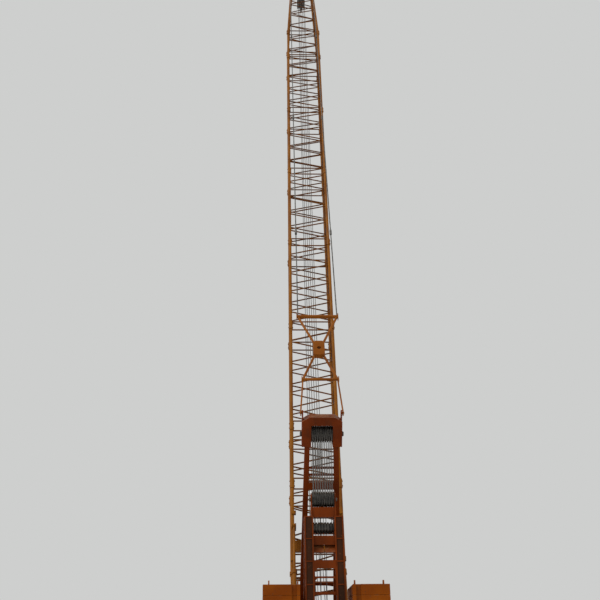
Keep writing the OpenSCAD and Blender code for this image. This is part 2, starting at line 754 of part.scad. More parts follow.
module cab_openings() {
    y0 = cab_front - cab_l;
    x1 = cab_x + cab_w;
    top = cab_z + cab_h;
    // Door, left window, rear window, windscreen and roof window
    block([x1 - cab_wall - 1, door_y0, cab_z + 70], [x1 + 1, door_y1, top - 70]);
    block([cab_x - 1, y0 + 120, cab_z + 380], [cab_x + cab_wall + 1, cab_front - 220, top - 90]);
    block([cab_x + 80, y0 - 1, cab_z + 420], [x1 - 80, y0 + cab_wall + 1, top - 90]);
    block([cab_x + 60, cab_front - 200, cab_z + 330], [x1 - 60, cab_front + 1, top - 90]);
    block([cab_x + 90, y0 + 250, top - cab_wall - 1], [x1 - 90, cab_front - 320, top + 1]);
}

// A work lamp on its foot, facing forward
module work_lamp(x, y, z) {
    block([x - 15, y, z - 4], [x + 15, y + 30, z + 30]);
    translate([x, y + 50, z + 68]) rotate([90, 0, 0]) cylinder(h = 70, r = 48);
}

module cab_shell() {
    color(crane_orange) {
        difference() {
            plate_x(cab_x, cab_x + cab_w) cab_profile(0);
            plate_x(cab_x + cab_wall, cab_x + cab_w - cab_wall) cab_profile(cab_wall);
            cab_openings();
        }
        for (z = door_hinge_z)
            hinge_pin(cab_x + cab_w + hinge_out, door_hinge_y, z, -hinge_out - 2, -hinge_r);
        for (x = [cab_x + 110, cab_x + cab_w - 110]) work_lamp(x, cab_front - 190, cab_z + cab_h);
    }
}

module cab_glass() {
    glass = 8;
    y0 = cab_front - cab_l;
    color(glass_tint) {
        block([cab_x + 8, y0 + 120, cab_z + 380], [cab_x + 8 + glass, cab_front - 220, cab_z + cab_h - 90]);
        block([cab_x + 80, y0 + 8, cab_z + 420], [cab_x + cab_w - 80, y0 + 8 + glass, cab_z + cab_h - 90]);
        intersection() {
            difference() {
                plate_x(cab_x + 60, cab_x + cab_w - 60) cab_profile(8);
                plate_x(cab_x + 59, cab_x + cab_w - 59) cab_profile(8 + glass);
            }
            block([cab_x + 60, cab_front - 200, cab_z + 330],
                [cab_x + cab_w - 60, cab_front, cab_z + cab_h - 90]);
        }
    }
}

module cab_seat() {
    x = cab_x + cab_w / 2;
    y = cab_front - 560;
    color(seat_black) {
        block([x - 50, y - 60, cab_z + cab_wall], [x + 50, y + 60, cab_z + 150]);
        block([x - 120, y - 130, cab_z + 150], [x + 120, y + 130, cab_z + 210]);
        block([x - 115, y - 190, cab_z + 180], [x + 115, y - 120, cab_z + 560]);
    }
}

module cab_console() {
    x = cab_x + cab_w / 2;
    y = cab_front - 560;
    color(steel_dark) for (d = [-190, 150]) {
        block([x + d, y - 60, cab_z + cab_wall], [x + d + 50, y + 200, cab_z + 300]);
        translate([x + d + 25, y + 160, cab_z + 295]) cylinder(h = 80, r = 9);
    }
}

module cab_door() {
    color(crane_orange) for (z = door_hinge_z)
        hinge_sleeve(cab_x + cab_w + hinge_out, door_hinge_y, z, -hinge_out, hinge_r + 10);
    color(crane_orange) difference() {
        block([cab_x + cab_w - cab_wall, door_y0 + door_gap, cab_z + 70 + door_gap],
            [cab_x + cab_w, door_y1 - door_gap, cab_z + cab_h - 70 - door_gap]);
        block([cab_x + cab_w - cab_wall - 1, door_y0 + 60, cab_z + 380],
            [cab_x + cab_w + 1, door_y1 - 60, cab_z + cab_h - 130]);
    }
}

module cab_door_glass() {
    color(glass_tint) block([cab_x + cab_w - cab_wall + 8, door_y0 + 60, cab_z + 380],
        [cab_x + cab_w - cab_wall + 16, door_y1 - 60, cab_z + cab_h - 130]);
}

// Corner of a boom section: side, face, and place along it, between two chord spacings
function corner(sx, sy, z, l, a, b) = [sx * (a[0] + (b[0] - a[0]) * z / l),
    sy * (a[1] + (b[1] - a[1]) * z / l), z];

// A brace between two chord nodes, ending inside the chord walls
module brace(a, b) {
    u = (b - a) / norm(b - a);
    rod(a + u * chord_r * brace_inset, b - u * chord_r * brace_inset, brace_r, 8);
}

// A lattice section with zigzag braces; a and b are the half spacings at its ends
module lattice(l, a, b, z0, z1, pitch, trim = [0, 0], spin = 0) {
    gap = brace_r * 1.25;
    steps = 2 * round((z1 - z0) / pitch);
    rise = (z1 - z0) / steps;
    for (sx = [-1, 1]) for (sy = [-1, 1])
        rod(corner(sx, sy, trim[0], l, a, b), corner(sx, sy, l - trim[1], l, a, b), chord_r, spin = spin);
    for (k = [0 : steps - 1]) {
        low = z0 + k * rise + gap;
        high = z0 + (k + 1) * rise - gap;
        e = k % 2 == 0 ? -1 : 1;
        for (f = [-1, 1]) {
            brace(corner(e * f, f, low, l, a, b), corner(-e * f, f, high, l, a, b));
            brace(corner(f, e * f, low, l, a, b), corner(f, -e * f, high, l, a, b));
        }
    }
    for (z = [z0 - gap, z1 + gap]) for (f = [-1, 1]) {
        brace(corner(-1, f, z, l, a, b), corner(1, f, z, l, a, b));
        brace(corner(f, -1, z, l, a, b), corner(f, 1, z, l, a, b));
    }
}

// Thicker chord ends where two sections are pinned together
module connectors(z, dir) {
    for (sx = [-1, 1]) for (sy = [-1, 1]) translate([sx * chord_x, sy * chord_y, z]) {
        translate([0, 0, dir > 0 ? 0 : -110]) cylinder(h = 110, r = chord_r + 14);
        bar_x(-chord_r - 18, chord_r + 18, 0, dir * 60, 20);
    }
}

full = [chord_x, chord_y];
end_frame = 155;
brace_inset = 0.55;

module boom_insert(i) {
    l = insert_len[i];
    color(boom_ochre) on_boom() translate([0, 0, insert_start(i)]) {
        lattice(l, full, full, end_frame, l - end_frame, node_pitch);
        connectors(0, 1);
        connectors(l, -1);
    }
}

module boom_heel() {
    full_t = 1500;
    start_t = 150;
    start = [boom_lug_x, 62];
    rise = full_t - start_t;
    straight = heel_len - full_t;
    web_inset = 12;
    plate_t = [1650, 1900];
    plate_n = [-chord_y - 22, -chord_y + 48];
    knee_half = 50;
    rest_t = backstop_t + 330;
    stow_t = 1200;
    stow_n = start[1] + (chord_y - start[1]) * (stow_t - start_t) / rise;
    color(boom_ochre) on_boom() difference() {
        union() {
            translate([0, 0, start_t]) lattice(rise, start, full, 300, rise - 110, 400, [0, 30], 37);
            translate([0, 0, full_t])
                lattice(straight, full, full, 120, straight - end_frame, node_pitch, [10, 0]);
            connectors(heel_len, -1);
            for (sx = [-1, 1]) for (sy = [-1, 1]) translate([sx * chord_x, sy * chord_y, full_t - knee_half])
                cylinder(h = 2 * knee_half, r = chord_r + 14);
            both_sides() {
                plate_x(boom_lug[0], boom_lug[1]) circle(r = lug_r);
                plate_x(boom_lug[0] + web_inset, boom_lug[1] - web_inset)
                    polygon([[-lug_r + 14, 10], [lug_r - 14, 10], [125, 330], [-125, 330]]);
                block([backstop_x - 50, -chord_y - 24, backstop_t - 70],
                    [backstop_x + 50, -chord_y + 18, backstop_t + 70]);
                for (x = [backstop_x - 50, backstop_x + 30]) plate_x(x, x + 20)
                    polygon([[-chord_y - 10, backstop_t - 66], [backstop_n - 40, backstop_t - 40],
                        [backstop_n - 40, backstop_t + 40], [-chord_y - 10, backstop_t + 66]]);
                bar_x(backstop_x - 45, backstop_x + 45, backstop_n, backstop_t, backstop_pin_r);
                block([backstop_x - 50, -chord_y - 80, rest_t - 35],
                    [backstop_x + 50, -chord_y + 18, rest_t + 35]);
                bar_x(chord_x - 20, chord_x + 62, -stow_n, stow_t, 22);
            }
            block([-chord_x + 14, plate_n[0], plate_t[0]], [chord_x - 14, plate_n[1], plate_t[1]]);
            for (i = [-3 : 3]) block([i * 140 - 8, plate_n[0] - 26, plate_t[0]],
                [i * 140 + 8, plate_n[0] + 5, plate_t[1]]);
        }
        bar_x(-foot_box_out, foot_box_out, 0, 0, foot_pin_r + running_gap);
    }
}

module boom_head() {
    taper = head_len - tip_straight;
    tip = [tip_x, tip_y];
    axle_z = head_axle_t - head_start;
    cap = 45;
    color(boom_ochre) on_boom() translate([0, 0, head_start]) difference() {
        union() {
            lattice(taper, full, tip, end_frame, taper - 90, node_pitch, [12, 0], 37);
            connectors(0, 1);
            block([-tip_x - cap, -tip_y - cap, taper - 20], [tip_x + cap, tip_y + cap, taper + 30]);
            both_sides() plate_x(head_plate_x - 20, head_plate_x + 20)
                polygon([[-tip_y - 40, taper + 10], [tip_y + 40, taper + 10],
                    [head_axle_n + 30, axle_z - 120], [head_axle_n + 90, axle_z - 60],
                    [head_axle_n + 90, axle_z + 70], [head_axle_n - 40, axle_z + 130],
                    [-tip_y + 60, head_len], [-tip_y - 40, head_len - 60]]);
            block([-head_plate_x, -40, taper + 150], [head_plate_x, 40, taper + 230]);
            bar_x(-pendant_x - 30, pendant_x + 30, anchor_n, anchor_t - head_start, 36);
        }
        bar_x(-head_plate_x - 30, head_plate_x + 30, head_axle_n, axle_z, 40 + seat_gap);
        bar_x(-head_plate_x - 30, head_plate_x + 30, 100, head_len - 90, 30);
    }
}

module boom_head_sheaves() {
    color(steel_dark) on_boom() translate([0, head_axle_n, head_axle_t]) {
        sheave_row(4, 60, fall_r + 28, fall_r - fall_rope_r - seat_gap, 34, 60);
        bar_x(-head_plate_x - 30, head_plate_x + 30, 0, 0, 40);
    }
}

// Telescopic tubes that stop the boom from falling back
module backstops() {
    top = backstop_top;
    foot = backstop_foot;
    along = (foot - top) / norm(foot - top);
    color(boom_ochre) both_sides() {
        difference() {
            bar_x(backstop_x - 24, backstop_x + 24, top[1], top[2], 50);
            bar_x(backstop_x - 25, backstop_x + 25, top[1], top[2], backstop_pin_r + seat_gap);
        }
        rod(top + along * 44, top + along * 1250, 28);
        rod(top + along * 1050, foot, 45);
        rod(top + along * 1030, top + along * 1120, 58);
    }
}

module pendants() {
    high = [pendant_x, spread_high_w];
    reach = pendant_len;
    color(steel_dark) on_pendants() both_sides() {
        rod([high[0], 0, high[1] + 42 + seat_gap], [pendant_x, 0, reach - 55], pendant_r);
        for (w = [high[1] + first_link : link_step : reach - 500]) translate([pendant_x, 0, w - 90])
            cylinder(h = 180, r = pendant_r + 14);
        difference() {
            bar_x(pendant_x - 19, pendant_x + 19, 0, reach, 62);
            bar_x(pendant_x - 20, pendant_x + 20, 0, reach, 36 + seat_gap);
        }
    }
}

// The frame that spreads the pendants above the mast head
module pendant_spreader() {
    h = spread_box_half;
    c = spread_chamfer;
    box_low = spread_box_w - spread_box_h / 2;
    box_high = spread_box_w + spread_box_h / 2;
    color(crane_orange) on_pendants() {
        bar_x(-pendant_x - 30, pendant_x + 30, 0, spread_high_w, 42);
        bar_x(-spread_low_x - 30, spread_low_x + 30, 0, spread_low_w, 30);
        plate_y(-60, 60) difference() {
            polygon([[c - h, box_low], [h - c, box_low], [h, box_low + c], [h, box_high - c],
                [h - c, box_high], [c - h, box_high], [-h, box_high - c], [-h, box_low + c]]);
            translate([0, spread_box_w]) circle(r = 42);
        }
        both_sides() {
            rod([pendant_x, 0, spread_high_w], [h - 30, 0, box_high - 30], 26);
            rod([spread_low_x, 0, spread_low_w], [h - 30, 0, box_low + 30], 26);
            rod([spread_low_x, 0, spread_low_w], [pendant_pin_x, 0, 50], 16);
            plate_x(spread_low_x + 12, spread_low_x + 28) translate([0, spread_low_w])
                square([90, 110], center = true);
            plate_x(pendant_x + 16, pendant_x + 30) translate([0, spread_high_w])
                square([90, 150], center = true);
            difference() {
                plate_x(pendant_pin_x - 10, pendant_pin_x + 10) circle(r = 58);
                bar_x(pendant_pin_x - 11, pendant_pin_x + 11, 0, 0, pendant_pin_r + 0.5);
            }
        }
    }
}

// Mast legs, their cross members and the head that holds the sheaves
module mast() {
    h = mast_head_half;
    top_x = mast_leg_top - mast_leg_w / 2;
    low_s = mast_sheave_s - 230;
    chamfer = 150;
    head_d = 130;
    ear = 60;
    pack_half = luff_pack_half + 8;
    bars = [[1200, 60], [2300, 60], [3312, 145], [3530, 40], [3675, 40]];
    color(crane_orange) on_mast() difference() {
        union() {
            both_sides() {
                plate_y(-mast_leg_d / 2, mast_leg_d / 2)
                    polygon([[mast_foot_x - mast_leg_w / 2, 200], [mast_foot_x + mast_leg_w / 2, 200],
                        [top_x + mast_leg_w / 2, low_s + 1], [top_x - mast_leg_w / 2, low_s + 1]]);
                plate_x(mast_lug[0], mast_lug[1]) {
                    circle(r = lug_r - 10);
                    polygon([[-lug_r + 12, 10], [lug_r - 12, 10],
                        [mast_leg_d / 2 - 1, 260], [-mast_leg_d / 2 + 1, 260]]);
                }
                plate_x(h - 27, h - 2) {
                    translate([0, pendant_pin_s]) circle(r = ear);
                    translate([-ear, mast_top_s - 120]) square([2 * ear, pendant_pin_s - mast_top_s + 120]);
                }
                bar_x(h - 27, pendant_pin_x + 22, 0, pendant_pin_s, pendant_pin_r);
            }
            for (b = bars) block([-mast_foot_x + 30, -b[1] / 2, b[0] - b[1] / 2],
                [mast_foot_x - 30, b[1] / 2, b[0] + b[1] / 2]);
            plate_y(-head_d, head_d) polygon([[-h, low_s], [h, low_s], [h, mast_top_s - 90],
                [h - chamfer, mast_top_s], [-h + chamfer, mast_top_s], [-h, mast_top_s - 90]]);
        }
        bar_x(-foot_box_out, foot_box_out, 0, 0, foot_pin_r + running_gap);
        block([-pack_half, -head_d - 1, low_s - 1], [pack_half, head_d + 1, mast_sheave_s + 200]);
        bar_x(-h - 1, h + 1, 0, mast_sheave_s, 50 + seat_gap);
    }
}

module mast_sheaves() {
    color(steel_dark) on_mast() translate([0, 0, mast_sheave_s]) {
        sheave_row(luff_sheaves, luff_pitch, 170, 146, 28, 70);
        bar_x(-mast_head_half - 25, mast_head_half + 25, 0, 0, 50);
    }
}

// The block hangs straight below the head axle
hook_axle = boom_pt(0, head_axle_n, head_axle_t);
block_r = fall_r;
fall_rope_r = 6;

module hook_block() {
    cheek = 150;
    color(steel_dark) translate(hook_axle - [0, 0, hook_drop]) {
        for (x = [-cheek, cheek - 24]) plate_x(x, x + 24) {
            circle(r = block_r + 20);
            polygon([[-block_r - 10, -20], [block_r + 10, -20], [60, -300], [-60, -300]]);
        }
        bar_x(-cheek, cheek, 0, -270, 30);
        sheave_row(4, 60, block_r + 12, fall_r - fall_rope_r - seat_gap, 34, 60);
        bar_x(-cheek - 12, cheek + 12, 0, 0, 35);
        translate([0, 0, -330]) cylinder(h = 90, r = 36);
        translate([0, 0, -440]) rotate([90, 0, 90])
            rotate_extrude(angle = 250) translate([80, 0]) circle(r = 30);
        translate([0, 0, -345]) sphere(r = 46);
    }
}

module hook_falls() {
    color(rope_grey) translate(hook_axle) for (x = [-90, -30, 30, 90]) for (y = [-fall_r, fall_r])
        translate([x, y, -hook_drop]) cylinder(h = hook_drop, r = fall_rope_r);
}

carbody();
track_frame(-1);  // track_frame_left
track_frame(1);  // track_frame_right
color(steel_dark) track(-1);  // track_left
color(steel_dark) track(1);  // track_right
rollers();
wheel_pair(-axle_base / 2);  // drive_wheels
wheel_pair(axle_base / 2);  // idler_wheels
slew_ring();
turntable_frame();
hoist_winches();
luffing_winch();
gantry();
gantry_sheaves();
engine_housing();
engine_block();
hood_door(1);  // hood_door_front
hood_door(0);  // hood_door_rear
tank_housing();
walkways();
counterweight_tray();
counterweights(-1);  // counterweights_left
counterweights(1);  // counterweights_right
cab_shell();
cab_glass();
cab_seat();
cab_console();
cab_door();
cab_door_glass();
boom_heel();
boom_insert(0);  // boom_insert_1
boom_insert(1);  // boom_insert_2
boom_insert(2);  // boom_insert_3
boom_insert(3);  // boom_insert_4
boom_insert(4);  // boom_insert_5
boom_insert(5);  // boom_insert_6
boom_insert(6);  // boom_insert_7
boom_head();
boom_head_sheaves();
backstops();
pendants();
pendant_spreader();
mast();
mast_sheaves();
hook_block();
hook_falls();
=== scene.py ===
import json
import math

import bmesh
import bpy
from mathutils import Matrix, Vector


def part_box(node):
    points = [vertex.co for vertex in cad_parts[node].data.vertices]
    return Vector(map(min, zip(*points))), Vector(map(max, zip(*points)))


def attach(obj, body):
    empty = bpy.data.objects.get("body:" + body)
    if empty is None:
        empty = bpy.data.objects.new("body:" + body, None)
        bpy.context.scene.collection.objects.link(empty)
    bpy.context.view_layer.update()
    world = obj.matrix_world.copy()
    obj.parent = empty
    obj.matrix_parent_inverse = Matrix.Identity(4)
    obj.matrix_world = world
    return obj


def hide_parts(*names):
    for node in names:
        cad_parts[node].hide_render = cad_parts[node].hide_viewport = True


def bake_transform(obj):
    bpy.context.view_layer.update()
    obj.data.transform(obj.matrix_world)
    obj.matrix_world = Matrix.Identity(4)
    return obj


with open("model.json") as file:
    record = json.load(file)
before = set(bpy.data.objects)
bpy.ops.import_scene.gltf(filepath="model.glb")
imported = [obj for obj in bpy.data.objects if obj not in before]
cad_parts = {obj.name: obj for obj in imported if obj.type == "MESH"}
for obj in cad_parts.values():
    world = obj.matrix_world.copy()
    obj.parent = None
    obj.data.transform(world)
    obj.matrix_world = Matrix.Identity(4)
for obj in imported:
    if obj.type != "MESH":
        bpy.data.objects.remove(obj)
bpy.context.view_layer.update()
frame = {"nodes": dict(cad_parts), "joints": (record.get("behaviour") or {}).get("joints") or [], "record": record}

# Driving sizes, in metres and degrees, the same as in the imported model. Boom and mast each have a frame
# of their own at the foot pins: X across, N through towards the front, and T along.
BOOM_ANGLE, MAST_ANGLE = 75.5, 58.0
ROPE_R = 0.006
HEAD_AXLE = (0.440, 25.550)       # N and T
HEAD_PITCH, HEAD_ROPE_R = 0.060, 0.190
MAST_SHEAVE_T, MAST_ROPE_R = 4.380, 0.152
GANTRY_AXLE = (-1.650, 3.620)     # Y and Z
GANTRY_ROPE_R, LOW_PACK_ROPE_R, LOW_PACK_DROP = 0.134, 0.094, 0.540
LUFF_PITCH, LUFF_SHEAVES = 0.046, 9
# Y of each winch, and the radius that its rope starts from
WINCHES = {"front": (0.130, 0.215), "rear": (-0.440, 0.215), "luffing": (-1.250, 0.170)}
WINCH_Z, WINCH_HALF = 1.180, 0.219
CHORD, TIP = (0.548, 0.460), (0.370, 0.180)      # X and N of the chords: along the inserts, and at the tip
CHORD_R = 0.040
KNEE, HEAD_START, TAPER_END = 1.500, 21.250, 25.450
FOOT_X, FOOT_N, FOOT_T = 0.520, 0.062, 0.150
HEEL_PLATE = (1.650, 1.900)       # from and to, along the boom
SECTION_ENDS = [3.25, 4.75, 7.75, 10.75, 13.75, 16.75, 19.75, 21.25]
DECK_Z = 0.800
UP = Vector((0, 0, 1))

FOOT = Vector(next(joint["pos_m"] for joint in frame["joints"] if joint["name"] == "boom_luff"))


def placed(lean):
    """The frame that stands at the foot pins, with Z leaning forward by this angle."""
    return Matrix.Translation((0, FOOT.y, FOOT.z)) @ Matrix.Rotation(-math.radians(lean), 4, "X")


BOOM = placed(90 - BOOM_ANGLE)
MAST = placed(MAST_ANGLE - 90)


def add(name, data):
    """Puts an object with this data into the scene."""
    obj = bpy.data.objects.new(name, data)
    bpy.context.scene.collection.objects.link(obj)
    return obj


# Camera: placed on the photograph's line of sight

CAMERA_AT = Vector((-0.880, -17.400, 0.786))
CAMERA_YAW, CAMERA_PITCH, CAMERA_ROLL = 1.706, 24.18, -0.50
CAMERA_LENS = 48.1


def make_camera():
    data = bpy.data.cameras.new("camera")
    data.lens = CAMERA_LENS
    data.sensor_width = 36
    data.clip_end = 400
    camera = add("camera", data)
    yaw, pitch = math.radians(CAMERA_YAW), math.radians(CAMERA_PITCH)
    ahead = Vector((math.sin(yaw) * math.cos(pitch), math.cos(yaw) * math.cos(pitch), math.sin(pitch)))
    aim = ahead.to_track_quat("-Z", "Y").to_matrix().to_4x4()
    roll = Matrix.Rotation(math.radians(CAMERA_ROLL), 4, "Z")
    camera.matrix_world = Matrix.Translation(CAMERA_AT) @ aim @ roll
    bpy.context.scene.camera = camera


# Materials

MATERIALS = {}


def rgb(r, g, b):
    """A colour given in screen values, 0 to 255, as linear light."""
    def linear(c):
        return ((c / 255 + 0.055) / 1.055) ** 2.4 if c > 10 else c / 255 / 12.92

    return linear(r), linear(g), linear(b), 1.0


class Shader:
    """One material's nodes, with short names for the few kinds used here."""

    def __init__(self, name):
        material = MATERIALS[name] = bpy.data.materials.new(name)
        material.use_nodes = True
        self.nodes = material.node_tree.nodes
        self.links = material.node_tree.links
        self.nodes.clear()
        self.bsdf = self.nodes.new("ShaderNodeBsdfPrincipled")
        out = self.nodes.new("ShaderNodeOutputMaterial")
        self.links.new(self.bsdf.outputs[0], out.inputs[0])
        self.place = self.nodes.new("ShaderNodeTexCoord").outputs["Object"]
        self.normal = self.nodes.new("ShaderNodeNewGeometry").outputs["Normal"]

    def put(self, socket, value):
        if isinstance(value, bpy.types.NodeSocket):
            self.links.new(value, socket)
        else:
            socket.default_value = value

    def math(self, operation, a, b=0.0):
        node = self.nodes.new("ShaderNodeMath")
        node.operation = operation
        self.put(node.inputs[0], a)
        self.put(node.inputs[1], b)
        return node.outputs[0]

    def noise(self, scale, detail=4.0, stretch=(1, 1, 1)):
        mapping = self.nodes.new("ShaderNodeMapping")
        self.links.new(self.place, mapping.inputs["Vector"])
        mapping.inputs["Scale"].default_value = stretch
        node = self.nodes.new("ShaderNodeTexNoise")
        self.links.new(mapping.outputs[0], node.inputs["Vector"])
        node.inputs["Scale"].default_value = scale
        node.inputs["Detail"].default_value = detail
        return node.outputs["Fac"]

    def line(self, value, low, high, to_low, to_high, kind="LINEAR"):
        node = self.nodes.new("ShaderNodeMapRange")
        node.interpolation_type = kind
        for socket, v in zip(node.inputs, (value, low, high, to_low, to_high)):
            self.put(socket, v)
        return node.outputs[0]

    def step(self, value, low, high, to_low=0.0, to_high=1.0):
        return self.line(value, low, high, to_low, to_high, "SMOOTHSTEP")

    def mix(self, share, a, b):
        node = self.nodes.new("ShaderNodeMix")
        node.data_type = "RGBA"
        factor, first, second = node.inputs[0], node.inputs[6], node.inputs[7]
        for socket, value in zip((factor, first, second), (share, a, b)):
            self.put(socket, value)
        return node.outputs[2]

    def split(self, vector):
        node = self.nodes.new("ShaderNodeSeparateXYZ")
        self.links.new(vector, node.inputs[0])
        return node.outputs

    def bump(self, height, strength, distance):
        node = self.nodes.new("ShaderNodeBump")
        node.inputs["Strength"].default_value = strength
        node.inputs["Distance"].default_value = distance
        self.put(node.inputs["Height"], height)
        self.links.new(node.outputs[0], self.bsdf.inputs["Normal"])

    def finish(self, colour, rough, metal=0.0, specular=0.5):
        self.bsdf.inputs["Specular IOR Level"].default_value = specular
        self.put(self.bsdf.inputs["Base Color"], colour)
        self.put(self.bsdf.inputs["Roughness"], rough)
        self.bsdf.inputs["Metallic"].default_value = metal


PAINT_SPECULAR = 0.08
PRIMER = rgb(92, 52, 28)
DUST = rgb(146, 120, 86)
GRIME = rgb(52, 34, 18)
CHORD_BAND = 0.047                # how far a chord's paint reaches in from the section's outer line
HEEL_END = 0.34                   # up to this T the heel's plates are painted as chords are
PLATE_N = -0.40                   # and so is the heel plate, below this N
ROPE_WAVES = 420.0                # bands of a rope's strands, in radians per metre
WEAVE_WAVES = 2600.0


def weathered(s, base, worn, dust, chips):
    """Paint with cloudy fading, streaks that run down, dust on what faces up and chips to the primer."""
    normal_z = s.split(s.normal)[2]
    colour = s.mix(s.step(s.noise(1.7, 5), 0.38, 0.68), base, worn)
    streak = s.noise(6.0, 5, stretch=(1, 1, 0.12))
    colour = s.mix(s.step(streak, 0.56, 0.8, 0.0, 0.45), colour, GRIME)
    settled = s.math("MULTIPLY", s.step(normal_z, 0.35, 0.95), s.step(s.noise(9.0, 6), 0.35, 0.7, 0.2, 1.0))
    colour = s.mix(s.math("MULTIPLY", settled, dust), colour, DUST)
    chip = s.step(s.noise(38.0, 7), chips, chips + 0.04)
    return s.mix(chip, colour, PRIMER), chip


def paint(name, base, worn, dust=0.5, chips=0.66, rough=0.42):
    s = Shader(name)
    colour, chip = weathered(s, base, worn, dust, chips)
    fine = s.noise(160.0, 3)
    s.bump(s.math("ADD", s.math("MULTIPLY", fine, 0.3), s.math("MULTIPLY", chip, -1.0)), 0.25, 0.0015)
    dulled = s.step(s.noise(14.0, 5), 0.3, 0.7, rough - 0.08, rough + 0.2)
    s.finish(colour, dulled, specular=PAINT_SPECULAR)


def boom_paint(name, chord, chord_worn, shaded_brace, shaded_brace_worn):
    """Chords in their plain paint and braces darkened with painted shade, told apart by their place in the boom's
    section.
    """
    s = Shader(name)
    mapping = s.nodes.new("ShaderNodeMapping")
    mapping.vector_type = "TEXTURE"
    s.links.new(s.place, mapping.inputs["Vector"])
    mapping.inputs["Location"].default_value = (0, FOOT.y, FOOT.z)
    mapping.inputs["Rotation"].default_value = (-math.radians(90 - BOOM_ANGLE), 0, 0)
    x, n, t = s.split(mapping.outputs[0])

    def half_size(foot, middle, tip):
        """The section's half size: it widens from the foot to the knee and narrows along the head."""
        heel = s.line(t, FOOT_T, KNEE, foot, middle)
        return s.math("MINIMUM", heel, s.line(t, HEAD_START, TAPER_END, middle, tip))

    def outside(place, half):
        return s.math("GREATER_THAN", s.math("ABSOLUTE", place), s.math("SUBTRACT", half, CHORD_BAND))

    half_x = half_size(FOOT_X, CHORD[0], TIP[0])
    half_n = half_size(FOOT_N, CHORD[1], TIP[1])
    is_chord = s.math("MULTIPLY", outside(x, half_x), outside(n, half_n))
    is_chord = s.math("MAXIMUM", is_chord, s.math("GREATER_THAN", t, TAPER_END - 0.03))
    is_chord = s.math("MAXIMUM", is_chord, s.math("LESS_THAN", t, HEEL_END))
    past_low = s.math("GREATER_THAN", t, HEEL_PLATE[0] - 0.01)
    below_high = s.math("LESS_THAN", t, HEEL_PLATE[1] + 0.01)
    in_plate = s.math("MULTIPLY", s.math("MULTIPLY", past_low, below_high), s.math("LESS_THAN", n, PLATE_N))
    is_chord = s.math("MAXIMUM", is_chord, in_plate)
    # The braces' colours are darker as painted shade; the chords, the tip, the heel and its plate keep the plain
    # paint
    base, worn = s.mix(is_chord, shaded_brace, chord), s.mix(is_chord, shaded_brace_worn, chord_worn)
    colour, chip = weathered(s, base, worn, 0.35, 0.68)
    s.bump(s.math("MULTIPLY", chip, -1.0), 0.3, 0.0015)
    s.finish(colour, s.step(s.noise(12.0, 4), 0.3, 0.7, 0.36, 0.6), specular=PAINT_SPECULAR)


def metal(name, dark, light, rough=0.5, metallic=0.7, scale=14.0, dust=0.3):
    s = Shader(name)
    colour = s.mix(s.step(s.noise(scale, 7), 0.35, 0.68), dark, light)
    normal_z = s.split(s.normal)[2]
    colour = s.mix(s.math("MULTIPLY", s.step(normal_z, 0.4, 0.95), dust), colour, DUST)
    s.bump(s.noise(scale * 9, 4), 0.2, 0.001)
    s.finish(colour, s.step(s.noise(scale * 2, 5), 0.3, 0.7, rough - 0.12, rough + 0.18), metallic)


def wire_rope(name, dark, light):
    """Strands that wind round the rope, drawn as fine slanted bands."""
    s = Shader(name)
    x, y, z = s.split(s.place)
    wave = s.math("SINE", s.math("MULTIPLY", s.math("ADD", z, s.math("ADD", x, y)), ROPE_WAVES))
    lay = s.step(wave, -0.6, 0.8)
    s.bump(lay, 0.5, 0.001)
    s.finish(s.mix(lay, dark, light), 0.45, 0.6)


def rubber(name, colour, rough=0.75):
    """A plain matt surface with a fine grain."""
    s = Shader(name)
    lighter = (*(min(1.0, c * 1.7 + 0.004) for c in colour[:3]), 1.0)
    tone = s.mix(s.step(s.noise(60.0, 5), 0.35, 0.7), colour, lighter)
    s.bump(s.noise(240.0, 3), 0.25, 0.0008)
    s.finish(tone, rough)


def clear_glass(name):
    s = Shader(name)
    smear = s.step(s.noise(7.0, 6), 0.42, 0.75, 0.0, 0.03)
    s.bsdf.inputs["Transmission Weight"].default_value = 0.94
    s.bsdf.inputs["IOR"].default_value = 1.45
    s.finish(rgb(204, 220, 216), smear)


def cushion_fabric(name):
    s = Shader(name)
    x, y, z = s.split(s.place)
    across = s.math("SINE", s.math("MULTIPLY", x, WEAVE_WAVES))
    along = s.math("SINE", s.math("MULTIPLY", s.math("ADD", y, z), WEAVE_WAVES))
    weave = s.step(s.math("MULTIPLY", across, along), -0.7, 0.7)
    colour = s.mix(s.step(s.noise(16.0, 4), 0.35, 0.7), rgb(38, 38, 40), rgb(60, 58, 56))
    colour = s.mix(s.math("MULTIPLY", weave, 0.25), colour, rgb(84, 82, 80))
    s.bump(weave, 0.35, 0.0006)
    s.finish(colour, 0.9)


